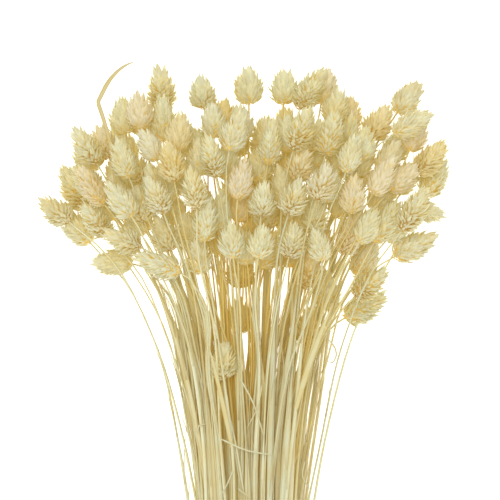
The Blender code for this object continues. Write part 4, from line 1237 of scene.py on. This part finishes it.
class Head:
    """A seed head: a core painted golden to brown, partly its own colour and partly painted shade under the
    glumes, with glumes all over it. Both lean to one side with the square of the height."""

    def __init__(self, rng, foot, axis, length, radius, brown):
        self.foot, self.axis, self.length, self.radius = foot, axis, length, radius
        self.side, self.up = frame_of(axis)
        self.spotted = max(brown, float(rng.uniform() < SPOTTED))
        lean = rng.normal(0.0, HEAD_LEAN) * self.side + rng.normal(0.0, HEAD_LEAN) * self.up
        self.lean = length * lean

    def line(self, heights, run):
        """Points of the head's leaning axis at heights from 0 to 1, which span a share of its length."""
        heights = heights[:, None]
        return self.foot + (CORE_START + run * heights) * self.length * self.axis + heights**2 * self.lean

    def core(self, piece, paint):
        """The core: a row of radii turned round the axis."""
        heights = np.linspace(0.0, 1.0, CORE_RINGS)
        radii = np.maximum(self.radius * np.interp(heights, *CORE_RADII), CLOSED_RADIUS)
        ways = ways_round(CORE_SIDES, self.side, self.up)
        rings = self.line(heights, CORE_RUN)[:, None] + radii[:, None, None] * ways
        spots = np.repeat(self.spotted * np.interp(heights, *CORE_SPOT), CORE_SIDES)
        piece.add(rings, [grid_quads(CORE_RINGS, CORE_SIDES)], CHAFF, along=CORE_ALONG, spot=spots, **paint)

    def glumes(self, piece, rng, paint):
        """The glumes: number n stands at n times the golden angle, at the height below which the core has
        n equal shares of its area, and leans out from the axis, much at the foot and little at the tip. A
        glume is a keeled scale: three points across at each of three heights, the middle one out on the
        keel, and then its tip."""
        fine = np.linspace(0.0, 1.0, AREA_STEPS)
        area = np.cumsum(np.interp(fine, *CORE_RADII) + AREA_LEAST)
        number = np.arange(HEAD_GLUMES)
        s = np.interp((number + 0.5) / HEAD_GLUMES, area / area[-1], fine)
        theta = number * GOLDEN_ANGLE + rng.uniform(0.0, WHOLE_TURN)
        theta = theta + rng.normal(0.0, ANGLE_STRAY, HEAD_GLUMES)
        gape = rng.uniform(*LOOSENESS) * (1.0 - s) + GAPE * self.spotted * np.interp(s, *GAPING)
        tilt = np.interp(s, *TILT) + gape + rng.normal(0.0, TILT_STRAY, HEAD_GLUMES)
        tilt = np.radians(tilt)[:, None]
        out = np.cos(theta)[:, None] * self.side + np.sin(theta)[:, None] * self.up
        along = np.cos(tilt) * self.axis + np.sin(tilt) * out
        normal = np.cos(tilt) * out - np.sin(tilt) * self.axis
        level = np.cross(along, normal)
        roll = rng.normal(0.0, ROLL_STRAY, HEAD_GLUMES)[:, None]
        across = np.cos(roll) * level + np.sin(roll) * normal
        normal = np.cos(roll) * normal - np.sin(roll) * level
        size = rng.uniform(*GLUME_VARY, HEAD_GLUMES) * np.interp(s, *GLUME_SIZES)
        size = (size * (1.0 - GAPE_SHRINK * gape) * self.radius / HEAD_RADIUS)[:, None, None]
        root = (GLUME_ROOT * self.radius * np.interp(s, *CORE_RADII))[:, None] * out
        base = (self.line(s, GLUMES_RUN) + root)[:, None]
        bow = GLUME_STATIONS[:, None] * along[:, None] + GLUME_BOW[:, None] * normal[:, None]
        centre = base + GLUME_LENGTH * size * bow
        wing = 0.5 * GLUME_WIDTH * GLUME_WIDTHS[:, None] * size * across[:, None]
        keel = GLUME_WIDTH * GLUME_KEEL[:, None] * size * normal[:, None]
        rows = np.stack([centre - wing, centre + keel, centre + wing], axis=2)
        points = np.concatenate([rows[:, :-1].reshape(HEAD_GLUMES, GLUME_TIP, 3), centre[:, -1:]], axis=1)
        first = (GLUME_TIP + 1) * number[:, None, None]
        spots = self.spotted * np.interp(s, *SPOTS) * rng.uniform(*SPOT_VARY, HEAD_GLUMES)
        paint = dict(paint, grain=np.repeat(rng.uniform(0.0, 1.0, HEAD_GLUMES), GLUME_TIP + 1))
        piece.add(
            points,
            [(block + first).reshape(-1, block.shape[1]) for block in (GLUME_QUADS, GLUME_TRIANGLES)],
            CHAFF,
            along=np.tile(np.append(np.repeat(GLUME_STATIONS[:-1], 3), 1.0), HEAD_GLUMES),
            across=np.tile(np.append(np.tile([-1.0, 0.0, 1.0], GLUME_TIP // 3), 1.0), HEAD_GLUMES),
            spot=np.repeat(spots, GLUME_TIP + 1),
            **paint,
        )


def over_heads(heap, points):
    """Whether each point lies over or in a seed head, seen from above: nearer than its radius to the
    nearest point of its axis, and not below it."""
    foot = heap.paths[:, -1]
    reach = heap.lengths[:, None] * heap.axes
    away = points[:, None] - foot[None]
    share = (away[..., :2] * reach[..., :2]).sum(axis=2) / (reach[..., :2] ** 2).sum(axis=1)
    away = away - np.clip(share, 0.0, 1.0)[..., None] * reach
    close = np.hypot(away[..., 0], away[..., 1]) < HEAD_CLEAR * heap.radii
    return (close & (away[..., 2] > -heap.radii)).any(axis=1)


def crossing(path, y):
    """Where a stalk crosses a line across the bunch: its x and its height there."""
    return [np.interp(y, path[:, 1], path[:, axis]) for axis in (0, 2)]


class Shade:
    """How deep a point lies in the heap: 0 at its surface and 1 in its middle, from the heap's own half
    width and height, read off the settled stalks at rows across it. It sets the painted shade: gold painted
    on the deep parts, where shade falls."""

    def __init__(self, heap):
        self.rows = np.linspace(CUT_END_Y, heap.paths[..., 1].max(), SHADE_ROWS)
        stalks = [
            np.array([crossing(path, y) for path in heap.paths if path[-1, 1] > y - ROW_REACH])
            for y in self.rows
        ]
        self.middle = np.array([np.median(row[:, 0]) for row in stalks])
        aside = (np.abs(row[:, 0] - middle) for row, middle in zip(stalks, self.middle))
        self.half = np.array([np.percentile(distances, SHADE_PERCENTILE) for distances in aside])
        self.top = np.array([np.percentile(row[:, 1], SHADE_PERCENTILE) for row in stalks])

    def level(self, points):
        """How far out to the side points are: 0 in the middle and 1 at the heap's side."""
        middle, half = (np.interp(points[..., 1], self.rows, v) for v in (self.middle, self.half))
        return np.abs(points[..., 0] - middle) / half

    def at(self, points):
        """The share of painted gold at points, which stands in for shade: none near the surface, all in the
        middle.
        """
        top = np.interp(points[..., 1], self.rows, self.top)
        level = self.level(points)
        room = 0.5 * top * np.sqrt(np.clip(1.0 - level**2, LEAST_ROOM, 1.0))
        deep = 1.0 - np.hypot(SIDE_WEIGHT * level, (points[..., 2] - 0.5 * top) / room)
        return np.clip(SHADE_GAIN * (deep - SHADE_START), 0.0, 1.0)


def head_room(foot, axis):
    """How far a head can reach along its axis until it meets a side of the plain model's box."""
    low, high = np.array(cad_box) / MM + (CENTRE[0], CENTRE[1], 0.0)
    return ((np.where(axis > 0.0, high, low) - foot) / np.where(axis == 0.0, 1.0, axis)).min()


def dress_stalk(piece, rng, heap, shade, j, start, leaves):
    """One stalk: its straw, its sheath, the blades that the plain sheaf has too, thin ribbons beside it,
    frayed tongues on its sheath, and its head."""
    foot = heap.paths[j, -1]
    axis = heap.axes[j] * (1.0, 1.0, HEAD_REST)
    axis = axis / np.linalg.norm(axis)
    corners = np.concatenate([[start], heap.paths[j], [foot + FOOTHOLD * heap.lengths[j] * axis]])
    path = smooth_path(corners, STRAW_STATIONS)
    radii = np.interp(np.linspace(0.0, 1.0, STRAW_STATIONS), *STRAW_RADII) * rng.uniform(*STRAW_VARY)
    path[:, 2] = np.maximum(path[:, 2], radii + TABLE_GAP)
    paint = {"tint": rng.uniform(), "grain": rng.uniform()}
    # The straw's gold is painted shade: more gold where it lies deep in the heap.
    straw(piece, path, radii, shade.at(path), paint)
    row = dress_sheath(piece, rng, heap, shade, j, corners, radii[0], paint)
    for leaf in leaves:
        if leaf.stalk == j:
            dress_leaf(piece, heap, leaf, paint)
    fine = smooth_path(corners, FINE_STATIONS)
    ribbons(piece, rng, heap, shade, fine, *LOW_RIBBONS)
    if shade.level(heap.paths[j, LAST // 2]) < HIGH_LEVEL:
        ribbons(piece, rng, heap, shade, fine, *HIGH_RIBBONS)
    if foot[1] > CROWN_RIBBON_Y and shade.level(foot) < CROWN_LEVEL:
        ribbons(piece, rng, heap, shade, fine, *CROWN_RIBBONS)
    for _ in range(rng.integers(0, TONGUES + 1)):
        tongue(piece, rng, heap, row, paint)
    dress_head(piece, rng, heap, shade, j, axis, paint)


def dress_sheath(piece, rng, heap, shade, j, corners, radius, paint):
    """A stalk's sheath, which ends a little past the plain one, is narrower at the heap's sides and thin
    where it passes under a head. Gives the line that it runs along."""
    sheath_end = float(PATH_SHARES[np.nonzero(heap.wide[j] > STALK_RADIUS)[0][-1]])
    end = FOOT_SHARE + (1.0 - FOOT_SHARE) * (sheath_end + SHEATH_PAST)
    row = smooth_path(corners, SHEATH_LINE)[: int(SHEATH_LINE * end)]
    row = row[np.linspace(0, len(row) - 1, SHEATH_STATIONS).astype(int)]
    height = min(HIGHEST_SHEATH, radius + SHEATH_OVER)
    row[:, 2] = np.maximum(row[:, 2], height + TABLE_GAP)
    widths = max(heap.wide[j, 1], LEAST_SHEATH) * np.interp(shade.level(row), *EDGE_WIDTHS)
    widths = np.where(over_heads(heap, row), np.minimum(widths, UNDER_HEAD), widths)
    # The sheath's gold is painted shade: more gold where it lies deep in the heap.
    sheath(piece, rng, row, widths, height, shade.at(row), paint)
    return row


def dress_leaf(piece, heap, leaf, paint):
    """A leaf blade along the plain one's points. The flag leaf has a line, a taper and a tint of its own."""
    points, taper = leaf.points, LEAF_TAPER
    if leaf.stalk == FLAG_STALK:
        points, taper = np.column_stack([FLAG_LINE, points[FLAG_HEIGHTS, 2]]), FLAG_TAPER
        paint = dict(paint, tint=FLAG_TINT)
    line = smooth_path(np.concatenate([[leaf.root(heap.paths)], points]), LEAF_STATIONS)
    widths = leaf.width * np.interp(np.linspace(0.0, 1.0, LEAF_STATIONS), *taper)
    blade(piece, line, widths, LEAF_FOLD, LEAF_GOLD, paint, points=LEAF_POINTS)


def dress_head(piece, rng, heap, shade, j, axis, paint):
    """A stalk's head: its size, how golden it is, a little by chance and as painted shade where it lies low
    in the heap and where it hides behind others, and whether it is one of the brown ones on top.
    """
    foot = heap.paths[j, -1]
    low = float(np.clip((LOW_FROM - foot[1]) / LOW_SPAN, 0.0, 1.0))
    out = math.hypot(foot[0] / CROWN_HALF_X, (foot[1] - CROWN_MIDDLE_Y) / CROWN_HALF_Y)
    inside = float(np.clip(CROWN_EDGE - out, 0.0, 1.0))
    high = foot[2] / heap_height(foot[0], foot[1])
    behind = float(np.clip((HIDDEN_BELOW - high) / HIDDEN_BELOW, 0.0, 1.0))
    # Gold: a little by chance, the head's own tone; the rest is painted shade on heads low inside the heap
    # and behind others in the crown.
    gold = CHANCE_GOLD * rng.uniform() + LOW_GOLD * low * float(shade.at(foot))
    gold += CROWN_GOLD * inside * behind
    room = head_room(foot, axis) - HEAD_MARGIN
    length = max(min(heap.lengths[j] * rng.uniform(*HEAD_STRETCH), room), LEAST_STRETCH * heap.lengths[j])
    radius = heap.radii[j] * rng.uniform(*HEAD_VARY) * (1.0 + HIDDEN_SWELL * behind)
    middle = foot[:2] + BROWN_PLACE * length * axis[:2]
    near = np.hypot(*(np.array(BROWN_HEADS) - middle).T).min() < BROWN_REACH
    head = Head(rng, foot, axis, length, radius, float(near and high > BROWN_ABOVE))
    paint = dict(paint, gold=gold)
    head.core(piece, paint)
    head.glumes(piece, rng, paint)


def ribbons(piece, rng, heap, shade, fine, count, firsts, lasts, sizes):
    """Thin strips, split from a sheath, that run along a stalk beside it and stray a little. Their ends
    and widths lie in the spans given. One that would cross a seed head or stand out from the heap's side
    isn't made."""
    for _ in range(count):
        first, last = rng.uniform(*firsts), rng.uniform(*lasts)
        line = fine[(np.linspace(first, last, RIBBON_STATIONS) * (FINE_STATIONS - 1)).astype(int)]
        _, across, up = frames_along(line)
        t = np.linspace(0.0, 1.0, RIBBON_STATIONS)[:, None]
        turn = rng.uniform(0.0, 2.0 * math.pi) + rng.uniform(-RIBBON_TURN, RIBBON_TURN) * t
        away = rng.uniform(*RIBBON_AWAY) + rng.uniform(*RIBBON_STRAY) * t**2
        line = line + away * (np.cos(turn) * across + np.sin(turn) * up)
        line[:, 2] = np.maximum(line[:, 2], RIBBON_FLOOR)
        if over_heads(heap, line).any() or shade.level(line).max() > 1.0:
            continue
        widths = rng.uniform(*sizes) * np.interp(t[:, 0], *STRIP_TAPER)
        paint = {"tint": rng.uniform(), "grain": rng.uniform()}
        roll = rng.uniform(-RIBBON_ROLL, RIBBON_ROLL)
        # The ribbon's gold is painted shade: more gold where it lies deep in the heap.
        blade(piece, line, widths, RIBBON_FOLD, shade.at(line), paint, roll)


def tongue(piece, rng, heap, row, paint):
    """A frayed strip that leaves a sheath near its top at a narrow angle and curls away from it."""
    k = int(rng.integers(len(row) // 2, len(row) - 2))
    along, across, up = frames_along(row[k - 1:k + 2])
    way = rng.uniform(-TONGUE_ASIDE, TONGUE_ASIDE)
    run = rng.uniform(*TONGUE_RUN)
    t = np.linspace(0.0, 1.0, TONGUE_STATIONS)[:, None]
    away = way * across[1] + rng.uniform(*TONGUE_RISE) * up[1]
    line = row[k] + run * t * along[1] + run * t**TONGUE_CURL * away + TONGUE_START * up[1]
    if over_heads(heap, line).any():
        return
    widths = rng.uniform(*TONGUE_WIDTH) * np.interp(t[:, 0], *TONGUE_TAPER)
    blade(piece, line, widths, STRIP_FOLD, TONGUE_GOLD, paint, rng.uniform(-TONGUE_ROLL, TONGUE_ROLL))


def heap_top(heap, x, y):
    """The number of the highest stalk at x and y, and how high a strip lies that rests on it there."""
    at = np.array([crossing(path, y) for path in heap.paths])
    heights = np.where(np.abs(at[:, 0] - x) < STRIP_REACH, at[:, 1], 0.0)
    top = int(heights.argmax())
    return top, heights[top] + STRIP_GAP


def loose_strip(piece, heap, points, width):
    """A frayed strip that lies over the stalks: a smooth line through points given from above, each as
    high as the heap is there, but not much lower than the highest one."""
    heights = np.array([heap_top(heap, x, y)[1] for x, y in points])
    heights = np.maximum(heights, heights.max() - STRIP_SAG)
    line = smooth_path(np.column_stack([points, heights]), STRIP_STATIONS)
    widths = width * np.interp(np.linspace(0.0, 1.0, STRIP_STATIONS), *STRIP_TAPER)
    blade(piece, line, widths, STRIP_FOLD, 0.0, STRIP_PAINT)


class Tree:
    """A node tree in the making: adds nodes by kind, with their settings and what feeds them."""

    def __init__(self, tree):
        self.tree = tree

    def feed(self, socket, value):
        """Links an output to an input socket, or gives the socket a value of its own."""
        if isinstance(value, bpy.types.NodeSocket):
            self.tree.links.new(value, socket)
        else:
            socket.default_value = value

    def add(self, kind, feeds=(), **settings):
        """A new node; feeds are pairs of an input, by name or number, and a value or an output."""
        node = self.tree.nodes.new(kind)
        for name, value in settings.items():
            setattr(node, name, value)
        for socket, value in feeds:
            self.feed(node.inputs[socket], value)
        return node

    def painted(self, name):
        """The value that the mesh carries under this name."""
        return self.add("ShaderNodeAttribute", attribute_name=name).outputs["Fac"]

    def maths(self, operation, *values, **settings):
        """The result of a sum on one to three values."""
        return self.add("ShaderNodeMath", enumerate(values), operation=operation, **settings).outputs[0]

    def mix(self, share, first, second, blend="MIX"):
        """Two colours mixed by a share."""
        feeds = [(0, share), (6, first), (7, second)]
        return self.add("ShaderNodeMix", feeds, data_type="RGBA", blend_type=blend).outputs[2]

    def ramp(self, value, *stops):
        """A colour ramp of stops, each a place and a colour."""
        node = self.add("ShaderNodeValToRGB", [(0, value)])
        elements = node.color_ramp.elements
        while len(elements) < len(stops):
            elements.new(1.0)
        for element, (place, stop_colour) in zip(elements, stops):
            element.position, element.color = place, stop_colour
        return node.outputs[0]

    def span(self, value, low, high, to_low=0.0, to_high=1.0):
        """A value smoothly carried from one span to another."""
        feeds = [(0, value), (1, low), (2, high), (3, to_low), (4, to_high)]
        return self.add("ShaderNodeMapRange", feeds, interpolation_type="SMOOTHSTEP").outputs[0]

    def noise(self, place, scale, detail, roughness=0.5):
        """Noise at a place, of a scale, with finer and finer detail."""
        feeds = [("Vector", place), ("Scale", scale), ("Detail", detail), ("Roughness", roughness)]
        return self.add("ShaderNodeTexNoise", feeds).outputs["Fac"]


def make_group(name, inputs, outputs):
    """An empty node group with named sockets, its tree, and its input and output nodes."""
    group = bpy.data.node_groups.new(name, "ShaderNodeTree")
    for label, kind, value in inputs:
        group.interface.new_socket(label, in_out="INPUT", socket_type=kind).default_value = value
    for label, kind in outputs:
        group.interface.new_socket(label, in_out="OUTPUT", socket_type=kind)
    tree = Tree(group)
    return group, tree, tree.add("NodeGroupInput"), tree.add("NodeGroupOutput")


def fibre_group():
    """Fine lines that run along a straw, sheath or glume: a streaked noise on the painted way across,
    drawn out along it, as a mask and as a height."""
    group, tree, given, made = make_group(
        "Plant fibres",
        [("Lines", "NodeSocketFloat", 1.0), ("Drift", "NodeSocketFloat", 1.0)],
        [("Streak", "NodeSocketFloat"), ("Height", "NodeSocketFloat")],
    )
    across = tree.maths("MULTIPLY", tree.painted("across"), given.outputs["Lines"])
    along = tree.maths("MULTIPLY", tree.painted("along"), given.outputs["Drift"])
    shift = tree.maths("MULTIPLY", tree.painted("grain"), GRAIN_SHIFT)
    place = tree.add("ShaderNodeCombineXYZ", enumerate((across, along, shift))).outputs[0]
    broad = tree.noise(place, *BROAD_FIBRES)
    fine = tree.maths("MULTIPLY", tree.noise(place, *FINE_FIBRES), FINE_SHARE)
    tree.feed(made.inputs["Streak"], tree.span(broad, *STREAK_SPAN))
    tree.feed(made.inputs["Height"], tree.maths("ADD", broad, fine))
    return group


def bleach_and_shade_group():
    """From a pale to a golden colour: by the painted share of gold, which deep in the heap is painted
    shade, and by soft blotches of the dried grass's uneven bleaching in the piece's own space."""
    group, tree, given, made = make_group(
        "Bleaching and painted shade",
        [
            ("Pale", "NodeSocketColor", WHITE),
            ("Gold", "NodeSocketColor", GOLD),
            ("Blotch", "NodeSocketFloat", BLOTCH_GOLD),
        ],
        [("Color", "NodeSocketColor")],
    )
    space = tree.add("ShaderNodeTexCoord").outputs["Object"]
    blotch = tree.span(tree.noise(space, *BLOTCHES), *BLOTCH_SPAN)
    blotch = tree.maths("MULTIPLY", blotch, given.outputs["Blotch"])
    share = tree.maths("ADD", tree.painted("gold"), blotch, use_clamp=True)
    tree.feed(made.inputs["Color"], tree.mix(share, given.outputs["Pale"], given.outputs["Gold"]))
    return group


def new_material(name):
    """A new material with nodes, and its shader."""
    material = bpy.data.materials.new(name)
    material.use_nodes = True
    return material, material.node_tree.nodes["Principled BSDF"]


def grass_material(groups, name, tints, fibres, roughness, relief, painted_glow, margin=None, base=None):
    """A dried-grass finish: pale tints by the painted tint, gold by uneven bleaching and by painted shade
    deep in the heap, darker fibres, and a painted glow: emission that lifts the shade, most at the glumes'
    feet and deep in the heap, standing in for light through the thin chaff."""
    material, shader = new_material(name)
    tree = Tree(material.node_tree)
    fibre_nodes, bleach_nodes = groups
    lines, drift, dark = fibres
    feeds = [("Pale", tree.ramp(tree.painted("tint"), *tints)), ("Gold", GOLD)]
    # Gold from blotches of bleaching, and from the painted gold, which deep in the heap is painted shade.
    bleached = tree.add("ShaderNodeGroup", feeds, node_tree=bleach_nodes)
    streaks = tree.add("ShaderNodeGroup", [("Lines", lines), ("Drift", drift)], node_tree=fibre_nodes)
    shade = tree.maths("MULTIPLY", streaks.outputs["Streak"], dark)
    skin = tree.mix(shade, bleached.outputs["Color"], GOLD)
    # Golden-brown edges: partly the sheath's own margin, partly painted shade between strips.
    if margin is not None:
        side = tree.maths("ABSOLUTE", tree.painted("across"))
        skin = tree.mix(tree.span(side, *MARGIN_SPAN, 0.0, margin), skin, MARGIN_GOLD_AND_SHADE)
    # The glumes' foot is golden, and brown where spotted: partly their own colour and partly painted shade
    # where glumes overlap.
    if base is not None:
        bright, deep, low, high = base
        foot = tree.mix(tree.painted("spot"), bright, deep)
        skin = tree.mix(tree.span(tree.painted("along"), low, high, 1.0, 0.0), skin, foot)
    light = tree.span(tree.painted("grain"), 0.0, 1.0, *GRAIN_LIGHT)
    light = tree.add("ShaderNodeCombineColor", enumerate((light, light, light))).outputs[0]
    skin = tree.mix(1.0, skin, light, "MULTIPLY")
    # Painted glow: golden emission that lifts the shade, strongest at the glumes' feet and deep in the heap,
    # though the grass is no lamp.
    by, low, high, least, most = painted_glow
    through = tree.span(tree.painted(by), low, high, most, least)
    through = tree.mix(through, BLACK, tree.mix(PAINTED_GLOW_SHARE, skin, PAINTED_GLOW_COLOUR))
    height = [("Height", streaks.outputs["Height"]), ("Strength", relief), ("Distance", RELIEF_HEIGHT)]
    tree.feed(shader.inputs["Base Color"], skin)
    tree.feed(shader.inputs["Emission Color"], through)
    tree.feed(shader.inputs["Normal"], tree.add("ShaderNodeBump", height).outputs[0])
    shader.inputs["Emission Strength"].default_value = 1.0
    shader.inputs["Roughness"].default_value = roughness
    shader.inputs["Specular IOR Level"].default_value = GLOSS
    return material


def dress_bunch():
    """Every sheaf's finer piece."""
    heap = grow()
    leaves = place_leaves(np.random.default_rng(SEED + 1), heap)
    groups = fibre_group(), bleach_and_shade_group()
    materials = [grass_material(groups, **finish) for finish in FINISHES]
    shade = Shade(heap)
    for number, (ordered, turn, centre) in enumerate(heap.sheaves, start=1):
        rng = np.random.default_rng([SEED, number])
        piece = Piece()
        for lobe, j in enumerate(ordered):
            x, z = centre + STRAW_SPREAD * lobe_way(turn, lobe)
            start = np.array([x, CUT_END_Y + rng.uniform(0.0, CUT_RAGGED), z])
            dress_stalk(piece, rng, heap, shade, j, start, leaves)
        for points, width in LOOSE_STRIPS:
            if heap_top(heap, *points[0])[0] in ordered:
                loose_strip(piece, heap, points, width)
        made = piece.make(f"grass_{number:02d}", materials)
        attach(made, "root")
        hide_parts(f"sheaf_{number:02d}")


def make_stage():
    """A white floor that glows a little, one soft lamp, and the camera straight above the bunch."""
    bpy.ops.mesh.primitive_plane_add(size=FLOOR_SIZE, location=(0.0, 0.0, FLOOR_HEIGHT))
    floor = bpy.context.object
    floor.name = "floor"
    material, shader = new_material("White floor")
    shader.inputs["Base Color"].default_value = FLOOR_COLOUR
    shader.inputs["Roughness"].default_value = FLOOR_ROUGHNESS
    shader.inputs["Emission Color"].default_value = WHITE
    shader.inputs["Emission Strength"].default_value = FLOOR_GLOW
    floor.data.materials.append(material)

    world = bpy.data.worlds.new("Studio")
    world.use_nodes = True
    background = world.node_tree.nodes["Background"]
    background.inputs["Color"].default_value = WHITE
    background.inputs["Strength"].default_value = WORLD_LIGHT
    bpy.context.scene.world = world
    bpy.context.scene.view_settings.view_transform = "Standard"

    lamp = bpy.data.lights.new("key", "AREA")
    lamp.size, lamp.energy = KEY_SIZE, KEY_POWER
    key = add_object("key", lamp, KEY_PLACE)
    key.rotation_euler = (-Vector(KEY_PLACE)).to_track_quat("-Z", "Y").to_euler()

    lens = bpy.data.cameras.new("camera")
    lens.lens = CAMERA_HEIGHT / FRAME_WIDTH * lens.sensor_width
    lens.clip_end = CAMERA_REACH
    place = (-CENTRE[0] * MM, 0.5 * FRAME_WIDTH - CENTRE[1] * MM, CAMERA_HEIGHT + FOCUS_HEIGHT)
    bpy.context.scene.camera = add_object("camera", lens, place)


make_stage()
dress_bunch()
